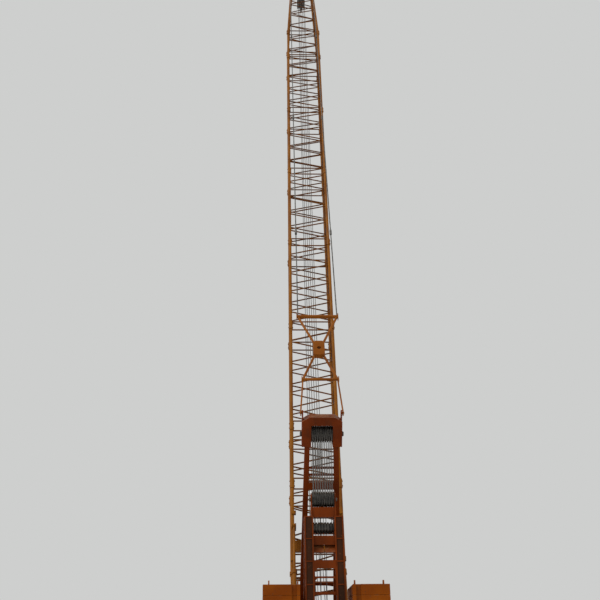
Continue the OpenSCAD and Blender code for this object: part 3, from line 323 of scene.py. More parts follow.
def make_materials():
    paint("frame_orange", rgb(166, 84, 6), rgb(142, 66, 4))
    # The mast and the gantry take the orange darkened to brown, partly for dirt and partly as painted shade
    paint("mast_dirt_and_shade", rgb(112, 45, 5), rgb(92, 35, 4), dust=0.35)
    paint("gantry_dirt_and_shade", rgb(108, 45, 5), rgb(84, 34, 4), dust=0.4, chips=0.64)
    # Painted shade: the dark colour of the sheets that stand for the recess between the gantry's flanges
    paint("web_painted_shade", rgb(62, 32, 14), rgb(46, 26, 14), dust=0.3, chips=0.64, rough=0.6)
    # Chord colours, then brace colours darkened with painted shade
    boom_paint("boom_ochre", rgb(134, 82, 18), rgb(114, 66, 13), rgb(102, 58, 13), rgb(82, 44, 10))
    paint("spreader_ochre", rgb(138, 80, 20), rgb(114, 60, 11))
    paint("counterweight_orange", rgb(130, 64, 1), rgb(113, 51, 0), chips=0.64)
    metal("track_steel", rgb(52, 44, 38), rgb(96, 82, 68), 0.62, 0.55, dust=0.55)
    metal("roller_steel", rgb(50, 46, 42), rgb(104, 98, 90), 0.45, 0.75)
    metal("ring_steel", rgb(70, 66, 60), rgb(120, 114, 104), 0.4, 0.8)
    metal("winch_dark", rgb(50, 47, 43), rgb(82, 78, 72), 0.5, 0.5)
    metal("sheave_dark", rgb(44, 42, 40), rgb(80, 76, 70), 0.42, 0.6)
    metal("pendant_steel", rgb(60, 58, 54), rgb(104, 100, 94), 0.45, 0.7)
    metal("engine_grey", rgb(58, 60, 60), rgb(88, 88, 86), 0.6, 0.3)
    metal("grating", rgb(84, 80, 74), rgb(122, 116, 106), 0.55, 0.7, scale=30.0)
    clear_glass("glass")
    cushion_fabric("seat_black")
    rubber("console_grey", rgb(58, 58, 60), rough=0.55)
    wire_rope("rope", rgb(44, 42, 40), rgb(112, 108, 102))
    rubber("black_rubber", rgb(28, 28, 29))
    metal("bolt_steel", rgb(72, 68, 62), rgb(124, 118, 108), 0.4, 0.8)
    rubber("lamp_lens", rgb(200, 200, 190), rough=0.15)


# Which material each node of the model takes where it isn't its record's slot
OTHER_FINISH = {"mast": "mast_dirt_and_shade", "gantry": "gantry_dirt_and_shade", "pendant_spreader": "spreader_ochre",
                "hook_block": "winch_dark"}


def dress_nodes():
    """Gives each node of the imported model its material."""
    slots = {part["node"]: part["material_slot"] for part in frame["record"]["subparts"]}
    for name, obj in frame["nodes"].items():
        material = MATERIALS[OTHER_FINISH.get(name, slots[name])]
        if not obj.material_slots:
            obj.data.materials.append(material)
        for slot in obj.material_slots:
            slot.material = material


# Mesh building

# A lifting eye: its hole's radius and height, and half its own thickness
EYE_R, EYE_Z, EYE_HALF = 0.020, 0.036, 0.012
# Its outline, a trapezium with a flat top: the way each side faces, on Y and Z, and how far it lies from
# the hole's middle
EYE_SIDES = ((0, 1, 0.034), (0, -1, 0.038), (0.9459, 0.3243, 0.03562), (-0.9459, 0.3243, 0.03562))


def circle(count):
    """Cosine and sine at this many places spread evenly round a circle."""
    return [(math.cos(a), math.sin(a)) for a in (2 * math.pi * k / count for k in range(count))]


def arc(centre, radius, start, end, count, across=0.0):
    """Points of an arc in the Y Z plane at a place on X; angles in degrees from +Y towards +Z."""
    cy, cz = centre
    turns = [math.radians(start + (end - start) * i / (count - 1)) for i in range(count)]
    return [(across, cy + radius * math.cos(a), cz + radius * math.sin(a)) for a in turns]


def as_object(bm, name, material, smooth=None):
    """Turns a mesh into an object, shaded smooth except at edges sharper than this many degrees."""
    mesh = bpy.data.meshes.new(name)
    bm.to_mesh(mesh)
    bm.free()
    mesh.materials.append(MATERIALS[material])
    for polygon in mesh.polygons:
        polygon.use_smooth = True
    if smooth is not None:
        mesh.set_sharp_from_angle(angle=math.radians(smooth))
    return add(name, mesh)


class Build:
    """Collects solids into one mesh, in the frame that it is given."""

    def __init__(self, at=None):
        self.bm = bmesh.new()
        self.at = Matrix.Identity(4) if at is None else at

    def box(self, low, high, bevel=0.0):
        low, high = Vector(low), Vector(high)
        made = bmesh.ops.create_cube(self.bm, size=1.0)["verts"]
        size = Matrix.Diagonal((*(high - low), 1))
        bmesh.ops.transform(self.bm, verts=made, matrix=Matrix.Translation((low + high) / 2) @ size)
        if bevel:
            edges = list(dict.fromkeys(e for v in made for e in v.link_edges))
            bmesh.ops.bevel(self.bm, geom=edges, offset=bevel, segments=2, affect="EDGES", profile=0.5)

    def block(self, x, y, half_x, half_y, low, high, bevel=0.0):
        """A box about a place on X and Y, between two heights."""
        self.box((x - half_x, y - half_y, low), (x + half_x, y + half_y, high), bevel)

    def rings(self, rings, closed=False):
        """Joins rings of points into a tube, capped unless it closes on itself."""
        loops = [[self.bm.verts.new(p) for p in ring] for ring in rings]
        count = len(loops[0])
        spans = list(zip(loops, loops[1:])) + ([(loops[-1], loops[0])] if closed else [])
        for a, b in spans:
            for i in range(count):
                j = (i + 1) % count
                self.bm.faces.new((a[i], a[j], b[j], b[i]))
        if not closed:
            self.bm.faces.new(list(reversed(loops[0])))
            self.bm.faces.new(loops[-1])

    def tube(self, points, radius, sides=8, closed=False):
        """A round bar along these points."""
        points = [Vector(p) for p in points]
        last = len(points) - 1
        rings = []
        side = None
        for i, p in enumerate(points):
            before = points[i - 1] if i or closed else p
            after = points[i + 1] if i < last else points[0] if closed else p
            along = (after - before).normalized()
            if side is None:
                side = along.orthogonal().normalized()
            side = (side - along * side.dot(along)).normalized()
            other = along.cross(side)
            rings.append([p + (side * c + other * s) * radius for c, s in circle(sides)])
        self.rings(rings, closed)

    def seal(self, low, high, along=0, radius=0.008):
        """A rubber seal round a window between two of its corners; its first side runs along this axis."""
        second, fourth = list(low), list(high)
        second[along], fourth[along] = high[along], low[along]
        self.tube([low, second, high, fourth], radius, 6, closed=True)

    def handle(self, y, face, out, low, high, bend, radius):
        """An upright bar bent back to a side panel; face and out are its X at the panel and away from it."""
        self.tube([(face, y, low), (out, y, low + bend), (out, y, high - bend), (face, y, high)], radius)

    def turned(self, centre, axis, profile, steps=28):
        """A closed profile of (along, radius) turned about an axis."""
        axis = Vector(axis).normalized()
        u = axis.orthogonal().normalized()
        v = axis.cross(u)
        centre = Vector(centre)
        self.rings([[centre + axis * h + (u * c + v * s) * r for h, r in profile] for c, s in circle(steps)],
                   closed=True)

    def bolt(self, at, axis, r, height):
        """A hexagon head on a washer."""
        at, axis = Vector(at), Vector(axis).normalized()
        washer = at + axis * height * 0.3
        self.tube([at, washer], r * 1.5, 12)
        self.tube([washer, at + axis * height], r, 6)

    def bolt_circle(self, centre, axis, radius, count, r, height):
        """Bolts round a centre, on a face that looks along X."""
        for c, s in circle(count):
            self.bolt(Vector(centre) + Vector((0, c, s)) * radius, axis, r, height)

    def eye_plate(self, x, y, z):
        """A lifting eye that stands on a surface: an outline that goes round its hole."""
        hole, edge = [], []
        for c, s in circle(24):
            reach = min(away / (c * ny + s * nz) for ny, nz, away in EYE_SIDES if c * ny + s * nz > 1e-6)
            hole.append((y + EYE_R * c, z + EYE_Z + EYE_R * s))
            edge.append((y + reach * c, z + EYE_Z + reach * s))
        rings = ((x - EYE_HALF, hole), (x - EYE_HALF, edge), (x + EYE_HALF, edge), (x + EYE_HALF, hole))
        self.rings([[(face, *point) for point in ring] for face, ring in rings], closed=True)

    def done(self, name, body, material, smooth=35):
        bmesh.ops.transform(self.bm, verts=self.bm.verts, matrix=self.at)
        bmesh.ops.recalc_face_normals(self.bm, faces=self.bm.faces)
        obj = as_object(self.bm, name, material, smooth)
        if body:
            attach(obj, body)
        return obj


# Ropes

def drum_rope(name, winch):
    """The rope laid on a winch barrel, as rings side by side."""
    y, rope_r = WINCHES[winch]
    half = ROPE_R * 1.9
    turns = int(WINCH_HALF / half)
    start = -turns * half
    profile = [(start, rope_r - 0.01)]
    for i in range(turns):
        low = start + 2 * half * i
        crest = rope_r + half * 0.8
        profile += [(low, rope_r), (low + half * 0.5, crest), (low + half * 1.5, crest)]
    profile += [(-start, rope_r), (-start, rope_r - 0.01)]
    b = Build()
    b.turned((0, y, WINCH_Z), (1, 0, 0), profile, 40)
    b.done(name, "upperworks", "rope", smooth=60)


GUIDE = (-0.360, 1.775)           # N and T of the guide sheaves in the heel
GUIDE_R = 0.100
GUIDE_OUT = (GUIDE[0] + GUIDE_R, GUIDE[1])       # where the ropes run over them
HOIST_R = 0.008
# Place across the guide sheaves, the winch it comes from, and its sheave at the head, if it has one
HOIST_LINES = [(-0.15, "rear", None), (-0.09, "rear", 0), (-0.03, "front", 1),
               (0.03, "front", 2), (0.09, "rear", 3), (0.15, "front", None)]
TIP_PLATE_T = TAPER_END - 0.018   # under side of the boom's tip plate


def hoist_ropes():
    """Lines from the hoist drums over the guide sheaves in the heel to the boom head."""
    for i, (x, winch, _) in enumerate(HOIST_LINES):
        y, rope_r = WINCHES[winch]
        on_drum = Vector((x, y - rope_r * 0.75, WINCH_Z + rope_r * 0.70))
        at_guide = BOOM @ Vector((x, *GUIDE_OUT))
        b = Build()
        b.tube([on_drum, at_guide], HOIST_R)
        lead = b.done(f"hoist_lead_{i + 1}", None, "rope")
        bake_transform(lead)
    b = Build(BOOM)
    sockets = Build(BOOM)
    for x, _, sheave in HOIST_LINES:
        start = (x, *GUIDE_OUT)
        if sheave is None:
            # The dead end of a rope, held in a wedge socket under the tip plate
            end_x, end_n = x * 0.8, 0.150
            end = (end_x, end_n, TAPER_END - 0.14)
            b.tube([start, end], HOIST_R)
            sockets.tube([end, (end_x, end_n, TIP_PLATE_T)], 0.020, 12)
            sockets.block(end_x, end_n, 0.026, 0.014, TAPER_END - 0.060, TIP_PLATE_T, 0.004)
            continue
        head_x = (sheave - 1.5) * HEAD_PITCH
        b.tube([start, (head_x, HEAD_AXLE[0] - HEAD_ROPE_R, HEAD_AXLE[1])], HOIST_R)
        b.tube(arc(HEAD_AXLE, HEAD_ROPE_R, 180, 0, 13, head_x), ROPE_R, 6)
    b.done("hoist_lines", "boom", "rope")
    sockets.done("rope_sockets", "boom", "bolt_steel")


def guide_sheaves():
    """The sheaves in the heel that lead the hoist ropes, on one axle between two lugs."""
    b = Build(BOOM)
    rim, groove = GUIDE_R + 0.014, GUIDE_R - HOIST_R
    profile = [(-0.022, 0.03), (-0.022, rim), (-0.008, groove), (0.008, groove), (0.022, rim), (0.022, 0.03)]
    for x, _, _ in HOIST_LINES:
        b.turned((x, *GUIDE), (1, 0, 0), profile)
    b.tube([(-0.22, *GUIDE), (0.22, *GUIDE)], 0.024, 16)
    b.done("guide_sheaves", "boom", "sheave_dark")
    b = Build(BOOM)
    for x in (-0.200, 0.200):
        b.box((x - 0.008, -0.425, GUIDE[1] - 0.05), (x + 0.008, GUIDE[0] + 0.045, GUIDE[1] + 0.05), 0.004)
    b.done("guide_lugs", "boom", "boom_ochre")


def luffing_ropes():
    """The falls between the gantry and the mast head, drawn as straight lines."""
    mast_axle = MAST @ Vector((0, 0, MAST_SHEAVE_T))
    low, high = Build(), Build()
    for i in range(LUFF_SHEAVES):
        x = (i - (LUFF_SHEAVES - 1) / 2) * LUFF_PITCH
        for k, side in enumerate((-1, 1)):
            a = Vector((x, GANTRY_AXLE[0] + side * GANTRY_ROPE_R, GANTRY_AXLE[1]))
            z = Vector((x, mast_axle.y + side * MAST_ROPE_R, mast_axle.z))
            b = Build()
            b.tube([a, z], ROPE_R)
            fall = b.done(f"luffing_fall_{2 * i + k + 1}", None, "rope")
            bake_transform(fall)
        low.tube(arc(GANTRY_AXLE, GANTRY_ROPE_R, 180, 360, 11, x), ROPE_R, 6)
        high.tube(arc(mast_axle.yz, MAST_ROPE_R, 0, 180, 11, x), ROPE_R, 6)
    low.done("gantry_rope_turns", "upperworks", "rope")
    high.done("mast_rope_turns", "mast", "rope")
    # Leads from the winch over the lower pack up to the upper one
    b = Build()
    y, rope_r = WINCHES["luffing"]
    pack = (GANTRY_AXLE[0] + LOW_PACK_ROPE_R, GANTRY_AXLE[1] - LOW_PACK_DROP)
    for x in (-0.168, -0.056, 0.056, 0.168):
        b.tube([(x, *pack), (x, GANTRY_AXLE[0] + GANTRY_ROPE_R, GANTRY_AXLE[1])], ROPE_R)
        if abs(x) < 0.1:
            b.tube([(x, y - rope_r * 0.6, WINCH_Z + rope_r * 0.8), (x, *pack)], ROPE_R)
    b.done("luffing_leads", "upperworks", "rope")


# Boom fittings

def boom_pins():
    """The ends of the pins at each joint between two sections: one pin a chord on either side of it."""
    b = Build(BOOM)
    for t in SECTION_ENDS:
        for side, front in ((-1, -1), (-1, 1), (1, -1), (1, 1)):
            x, n = side * CHORD[0], front * CHORD[1]
            for pin_t in (t - 0.060, t + 0.060):
                for end in (-1, 1):
                    face = x + end * (CHORD_R + 0.018)
                    b.tube([(face - end * 0.002, n, pin_t), (face + end * 0.006, n, pin_t)], 0.012, 10)
    b.done("boom_pins", "boom", "bolt_steel")


# Counterweights, gantry and axles

STACK = (Vector((0.470, -2.250, 0.7103)), Vector((1.140, -1.070)))     # low corner; X and Y of the high one
PLATE_T, PLATE_PITCH, PLATE_COUNT = 0.187, 0.1873, 7
PLATE_CHAMFER = 0.007
NOTCH = (0.060, 0.150, 0.030)     # start and end across a plate, and depth


def counterweight_plates(side, node):
    """The stacked plates with chamfered edges, their notches and lifting eyes; stands for the plain stack."""
    low, high = STACK
    b = Build()

    def outline(inset):
        x0, x1, y0, y1 = low.x + inset, high.x - inset, low.y + inset, high.y - inset
        n0, n1 = low.x + NOTCH[0] - inset, low.x + NOTCH[1] + inset
        return [(x0, y0), (n0, y0), (n0, y0 + NOTCH[2]), (n1, y0 + NOTCH[2]), (n1, y0), (x1, y0),
                (x1, y1), (n1, y1), (n1, y1 - NOTCH[2]), (n0, y1 - NOTCH[2]), (n0, y1), (x0, y1)]

    for i in range(PLATE_COUNT):
        z = low.z + i * PLATE_PITCH
        levels = [(PLATE_CHAMFER, z), (0, z + PLATE_CHAMFER),
                  (0, z + PLATE_T - PLATE_CHAMFER), (PLATE_CHAMFER, z + PLATE_T)]
        b.rings([[(side * x, y, level) for x, y in outline(inset)] for inset, level in levels])
    top = low.z + (PLATE_COUNT - 1) * PLATE_PITCH + PLATE_T
    for x in (low.x + 0.042, high.x - 0.108):
        b.eye_plate(side * x, low.y + 0.070, top)
    piece = b.done(f"{node}_plates", "upperworks", "counterweight_orange", smooth=25)
    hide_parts(node)


LEG_X = (0.200, 0.372)
GANTRY_FACE = ((-2.115, 1.130), (-1.750, 3.620))     # Y and Z of the legs' rear face, low and high
STRIP_W, STRIP_FOOT, STRIP_TOP = 0.028, 1.200, 3.284
RIB_COUNT, RIB_H = 6, 0.020


def gantry_plates():
    """Flange strips and stiffeners on the rear faces of the gantry's legs, and dark sheets between the flanges as
    painted shade of the recess.
    """
    (y0, z0), (y1, z1) = GANTRY_FACE

    def face_y(z):
        return y0 + (y1 - y0) * (z - z0) / (z1 - z0)

    def slab(b, side, x_low, x_high, low, high, proud):
        b.rings([[(side * x, face_y(low) + 0.003, low), (side * x, face_y(low) - proud, low),
                  (side * x, face_y(high) - proud, high), (side * x, face_y(high) + 0.003, high)]
                 for x in (x_low, x_high)])

    strips, shade_webs = Build(), Build()
    web_low, web_high = LEG_X[0] + STRIP_W - 0.002, LEG_X[1] - STRIP_W + 0.002
    for side in (-1, 1):
        for x_low, x_high in ((LEG_X[0], LEG_X[0] + STRIP_W), (LEG_X[1] - STRIP_W, LEG_X[1])):
            slab(strips, side, x_low, x_high, STRIP_FOOT, STRIP_TOP, 0.016)
        for i in range(RIB_COUNT):
            z = STRIP_FOOT + i * (STRIP_TOP - RIB_H - STRIP_FOOT) / (RIB_COUNT - 1)
            slab(strips, side, web_low, web_high, z, z + RIB_H, 0.012)
        # A dark sheet just proud of the face between the flanges, as painted shade in the recess
        slab(shade_webs, side, web_low, web_high, STRIP_FOOT + 0.010, STRIP_TOP - 0.010, 0.003)
    strips.done("gantry_flanges", "upperworks", "gantry_dirt_and_shade")
    shade_webs.done("gantry_shade_webs", "upperworks", "web_painted_shade")


def axle_caps():
    """Keeper plates with bolts on the ends of the big axles and foot pins."""
    mast_axle, head_axle = MAST @ Vector((0, 0, MAST_SHEAVE_T)), BOOM @ Vector((0, *HEAD_AXLE))
    # Name, body, half the axle's length, its place and the cap's radius
    ends = [("mast_axle_caps", "mast", 0.427, mast_axle, 0.047),
            ("head_axle_caps", "boom", 0.400, head_axle, 0.037),
            ("gantry_axle_caps", "upperworks", 0.260, Vector((0, *GANTRY_AXLE)), 0.037),
            ("foot_pin_caps", "upperworks", 0.600, FOOT, 0.042)]
    for name, body, half, at, r in ends:
        b = Build()
        for side in (-1, 1):
            out = Vector((side, 0, 0))
            face = Vector((side * half, at.y, at.z))
            b.turned(face, out, [(-0.003, 0.001), (-0.003, r), (0.006, r), (0.009, r * 0.86), (0.009, 0.001)])
            b.bolt_circle(face + out * 0.008, out, r * 0.62, 6, r * 0.14, 0.006)
        b.done(name, body, "bolt_steel")


RING_BOLTS, BOLTS_AT, RING_TOP = 44, 0.685, 0.620    # how many, how far from the slew axis, and their height


def deck_bolts():
    """The bolts round the slew ring."""
    b = Build()
    for c, s in circle(RING_BOLTS):
        b.bolt((BOLTS_AT * c, BOLTS_AT * s, RING_TOP), UP, 0.011, 0.012)
    b.done("ring_bolts", "base", "bolt_steel")


# Tracks

TRACK_X, AXLE_BASE, TRACK_H = 1.475, 3.550, 0.600
SHOE_COUNT, SHOE_T, LINK_T, LUG_H = 60, 0.030, 0.030, 0.026
CHAIN_R = TRACK_H / 2 - SHOE_T
SHOE_HALF, LINK_HALF, LUG_HALF = 0.275, 0.110, 0.030
# From the track's middle: out to the frame's face, and in to the gearbox's
FRAME_OUT, GEARBOX_IN = 0.130, 0.345
# Outline of a shoe: share of the pitch, and height over the chain's line
SHOE = [(0.02, 0.000), (0.02, 0.014), (0.07, 0.021), (0.12, 0.021), (0.15, SHOE_T), (0.23, SHOE_T),
        (0.27, 0.020), (0.68, 0.020), (0.72, SHOE_T), (0.80, SHOE_T), (0.83, 0.021), (0.94, 0.019),
        (0.98, 0.012), (0.98, 0.000)]
LINK = [(0.04, 0.002), (0.96, 0.002), (0.92, -LINK_T), (0.08, -LINK_T)]
LUG = [(0.34, 0.002 - LINK_T), (0.40, -LINK_T - LUG_H), (0.60, -LINK_T - LUG_H), (0.66, 0.002 - LINK_T)]
HUB = [(-0.004, 0.0005), (-0.004, 0.086), (0.014, 0.086), (0.022, 0.074),
       (0.022, 0.040), (0.034, 0.034), (0.034, 0.0005)]


def chain_place(s):
    """Y and Z of a point of the chain's line, s along it from the bottom rear."""
    turn, half = math.pi * CHAIN_R, AXLE_BASE / 2
    if s < AXLE_BASE:
        return -half + s, TRACK_H / 2 - CHAIN_R
    s -= AXLE_BASE
    if s < turn:
        a = s / CHAIN_R - math.pi / 2
        return half + CHAIN_R * math.cos(a), TRACK_H / 2 + CHAIN_R * math.sin(a)
    s -= turn
    if s < AXLE_BASE:
        return half - s, TRACK_H / 2 + CHAIN_R
    a = (s - AXLE_BASE) / CHAIN_R + math.pi / 2
    return -half + CHAIN_R * math.cos(a), TRACK_H / 2 + CHAIN_R * math.sin(a)


def track_shoes(side, name):
    """Ribbed shoes with bolts, the links inside them and the drive lugs; stands for the plain track."""
    pitch = (2 * AXLE_BASE + 2 * math.pi * CHAIN_R) / SHOE_COUNT
    x = side * TRACK_X
    b = Build()
    for i in range(SHOE_COUNT):
        y0, z0 = chain_place(i * pitch)
        y1, z1 = chain_place((i + 1) % SHOE_COUNT * pitch)
        span = math.hypot(y1 - y0, z1 - z0)
        ty, tz = (y1 - y0) / span, (z1 - z0) / span

        def at(f, v):
            """Y and Z at this share of the shoe's pitch and this height over the chain's line."""
            return y0 + (y1 - y0) * f + tz * v, z0 + (z1 - z0) * f - ty * v

        for outline, half in ((SHOE, SHOE_HALF), (LINK, LINK_HALF), (LUG, LUG_HALF)):
            b.rings([[(end, *at(f, v)) for f, v in outline] for end in (x - half, x + half)])
        for bolt_x in (x - 0.085, x + 0.085):
            for f in (0.38, 0.58):
                b.tube([(bolt_x, *at(f, 0.019)), (bolt_x, *at(f, 0.027))], 0.008, 6)
    piece = b.done(f"{name}_shoes", "base", "track_steel", smooth=20)
    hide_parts(name)


def track_hubs():
    """Caps with bolts at the wheel axles, outside the track frames, and bolts round the gearboxes."""
    b = Build()
    for side in (-1, 1):
        face, gearbox = side * (TRACK_X + FRAME_OUT), side * (TRACK_X - GEARBOX_IN)
        for y in (-AXLE_BASE / 2, AXLE_BASE / 2):
            b.turned((face, y, TRACK_H / 2), (side, 0, 0), HUB, 32)
            b.bolt_circle((face + side * 0.014, y, TRACK_H / 2), (side, 0, 0), 0.079, 8, 0.005, 0.006)
        b.bolt_circle((gearbox, -AXLE_BASE / 2, TRACK_H / 2), (-side, 0, 0), 0.072, 10, 0.008, 0.008)
    b.done("track_hub_caps", "base", "roller_steel")


# Cab

CAB = (Vector((0.680, -0.050, DECK_Z)), Vector((1.230, 0.950, 1.775)))
CAB_FLOOR = 0.826
SEAT = Vector((0.955, 0.390, 0.950))
SIDE_WINDOW_FOOT, REAR_WINDOW_FOOT, SCREEN_FOOT, WINDOW_TOP = 1.180, 1.220, 1.130, 1.685
ROOF_WINDOW = ((0.770, 0.200), (1.140, 0.630))
LAMP_INSET, LAMP_Y, LAMP_UP = 0.11, 0.809, 0.068
# Turned profiles: the wiper's pivot, and a work lamp's rim and glass
PIVOT = [(0, 0.001), (0, 0.016), (0.014, 0.014), (0.018, 0.001)]
LAMP_RIM = [(0, 0.041), (0, 0.0495), (0.006, 0.0495), (0.006, 0.041)]
LAMP_GLASS = [(0, 0.001), (0, 0.0415), (0.003, 0.038), (0.006, 0.001)]


def screen_y(z):
    """Y of the cab's front at this height, where it slants back from its sill to the roof."""
    return 0.950 - 0.110 * (z - 1.10) / 0.675


def cushion(name, low, high, crown):
    """A stuffed pad: crowned faces, rounded edges, and sides that pull in between the corners."""
    low, high = Vector(low), Vector(high)
    centre, half = (low + high) / 2, (high - low) / 2
    bm = bmesh.new()
    bmesh.ops.create_cube(bm, size=2.0)
    bmesh.ops.subdivide_edges(bm, edges=bm.edges, cuts=11, use_grid_fill=True)
    thin = min(range(3), key=lambda i: half[i])
    first, second = (i for i in range(3) if i != thin)
    for v in bm.verts:
        u = Vector(v.co)
        p, q = u[first], u[second]
        pull = 1 - 0.045 * (1 - p ** 4) * abs(q) ** 6 - 0.045 * (1 - q ** 4) * abs(p) ** 6
        puff = (1 - p ** 2) * (1 - q ** 2)
        round_off = 1 - 0.5 * max(abs(p), abs(q)) ** 10
        u[first], u[second] = p * pull, q * pull
        u[thin] *= min(1.0, (0.72 + crown * puff) * round_off)
        v.co = centre + Vector([u[i] * half[i] for i in range(3)])
    obj = as_object(bm, name, "seat_black")
    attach(obj, "upperworks")
    return obj


def cab_seat():
    """Padded seat, back and headrest, and the frame that carries them."""
    x, y, z = SEAT
    base = cushion("seat_cushion", (x - 0.120, y - 0.128, z + 0.002), (x + 0.120, y + 0.130, z + 0.060), 0.30)
    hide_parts("cab_seat")
    cushion("seat_back", (x - 0.115, y - 0.190, z + 0.055), (x + 0.115, y - 0.130, z + 0.330), 0.30)
    cushion("seat_headrest", (x - 0.070, y - 0.185, z + 0.340), (x + 0.070, y - 0.135, z + 0.410), 0.35)
    b = Build()
    b.block(x, y, 0.110, 0.110, z - 0.020, z + 0.001, 0.006)
    b.tube([(x, y, CAB_FLOOR), (x, y, z - 0.02)], 0.036, 16)
    b.turned((x, y, CAB_FLOOR - 0.002), UP, [(0, 0.03), (0, 0.075), (0.012, 0.07), (0.02, 0.035)], 24)
    b.tube([(x, y - 0.196, z + 0.02), (x, y - 0.200, z + 0.15), (x, y - 0.176, z + 0.37)], 0.011, 10)
    b.tube([(x, y - 0.10, z - 0.01), (x, y - 0.196, z + 0.02)], 0.011, 10)
    b.done("seat_frame", "upperworks", "console_grey")


def cab_windows():
    """Rubber seals round the windows, the wiper, and the pane of the roof window."""
    low, high = CAB
    (x0, y0), (x1, y1) = ROOF_WINDOW
    screen_foot, screen_top = screen_y(SCREEN_FOOT), screen_y(WINDOW_TOP)
    b = Build()
    # The left side window, the rear window and the windscreen
    b.seal((low.x - 0.002, low.y + 0.120, SIDE_WINDOW_FOOT), (low.x - 0.002, 0.730, WINDOW_TOP), along=1)
    b.seal((low.x + 0.08, low.y - 0.002, REAR_WINDOW_FOOT), (high.x - 0.08, low.y - 0.002, WINDOW_TOP))
    b.seal((low.x + 0.06, screen_foot, SCREEN_FOOT), (high.x - 0.06, screen_top, WINDOW_TOP))
    # The wiper: its arm, its blade and its pivot
    pivot = Vector((0.955, screen_foot + 0.012, SCREEN_FOOT - 0.03))
    tip = Vector((0.860, screen_y(1.55) + 0.014, 1.50))
    b.tube([pivot, tip], 0.004, 6)
    b.tube([tip + Vector((0, 0, -0.16)), tip + Vector((0, -0.02, 0.12))], 0.005, 6)
    b.turned(pivot - Vector((0, 0.012, 0)), (0, 1, 0), PIVOT, 14)
    b.seal((x0, y0, high.z), (x1, y1, high.z))
    b.done("cab_rubber", "upperworks", "black_rubber")
    b = Build()
    b.box((x0 + 0.0005, y0 + 0.0005, high.z - 0.016), (x1 - 0.0005, y1 - 0.0005, high.z - 0.008), 0.001)
    b.done("cab_roof_glass", "upperworks", "glass")


def cab_fittings():
    """Rain rails on the roof, the grab rail, the mirror, and the rims and glass of the work lamps."""
    low, high = CAB
    b = Build()
    for x in (low.x + 0.06, high.x - 0.06):
        b.box((x - 0.012, low.y + 0.02, high.z - 0.001), (x + 0.012, high.y - 0.14, high.z + 0.012), 0.004)
    b.handle(0.800, high.x + 0.002, high.x + 0.030, 1.10, 1.58, 0.02, 0.008)
    b.tube([(low.x + 0.02, 0.86, 1.62), (low.x - 0.05, 0.93, 1.64), (low.x - 0.05, 0.93, 1.50)], 0.006)
    b.done("cab_rails", "upperworks", "console_grey")
    rims, glass = Build(), Build()
    rims.block(low.x - 0.05, 0.930, 0.035, 0.010, 1.42, 1.53, 0.006)
    for x in (low.x + LAMP_INSET, high.x - LAMP_INSET):
        z = high.z + LAMP_UP
        rims.turned((x, LAMP_Y, z), (0, 1, 0), LAMP_RIM)
        glass.turned((x, LAMP_Y + 0.0005, z), (0, 1, 0), LAMP_GLASS)
    rims.done("cab_mirror_and_rims", "upperworks", "black_rubber")
    glass.done("cab_lamp_glass", "upperworks", "lamp_lens")


def door_fittings():
    """The cab door's handle on its plate, and the seal of its window."""
    x = CAB[1].x
    b = Build()
    b.handle(0.705, x - 0.002, x + 0.018, 1.10, 1.18, 0.005, 0.006)
    b.box((x - 0.001, 0.692, 1.07), (x + 0.004, 0.718, 1.20), 0.002)
    b.seal((x - 0.003, 0.12, SIDE_WINDOW_FOOT), (x - 0.003, 0.710, 1.645), along=1, radius=0.007)
    b.done("cab_door_handle", "cab_door", "black_rubber")


KNOB = [(0, 0.009), (0.010, 0.016), (0.030, 0.019), (0.048, 0.014), (0.056, 0.001), (0, 0.001)]
GAITER = [(0, 0.022), (0.012, 0.020), (0.022, 0.012), (0.030, 0.0095), (0, 0.0095)]


def console_fittings():
    """Knobs and gaiters of the two levers beside the seat, and the two pedals."""
    x, y, _ = SEAT
    b = Build()
    for d in (-0.165, 0.175):
        at = Vector((x + d, y + 0.160, 1.170))
        b.turned(at, UP, KNOB, 18)
        b.turned(at - Vector((0, 0, 0.075)), UP, GAITER, 18)
    for pedal in (x - 0.06, x + 0.06):
        b.box((pedal - 0.035, 0.80, CAB_FLOOR), (pedal + 0.035, 0.87, CAB_FLOOR + 0.012), 0.004)
        b.box((pedal - 0.03, 0.85, CAB_FLOOR + 0.012), (pedal + 0.03, 0.862, 0.90), 0.004)
    b.done("cab_controls", "upperworks", "black_rubber")


# Engine and tank housings

HOOD = (Vector((-1.190, -0.980, DECK_Z)), Vector((-0.620, 0.600, 1.650)))
TANK = (Vector((0.620, -0.980, DECK_Z)), Vector((1.190, -0.170, 1.450)))
EXHAUST, INTAKE = (-0.770, -0.660), (-1.02, 0.26)
INTAKE_PIPE = [(0, 0.001), (0, 0.040), (0.10, 0.040), (0.11, 0.085), (0.15, 0.090),
               (0.175, 0.070), (0.18, 0.001)]
FINS, RAIL_POSTS = 26, 4
CAP_X, CAP_R = 0.905, 0.062


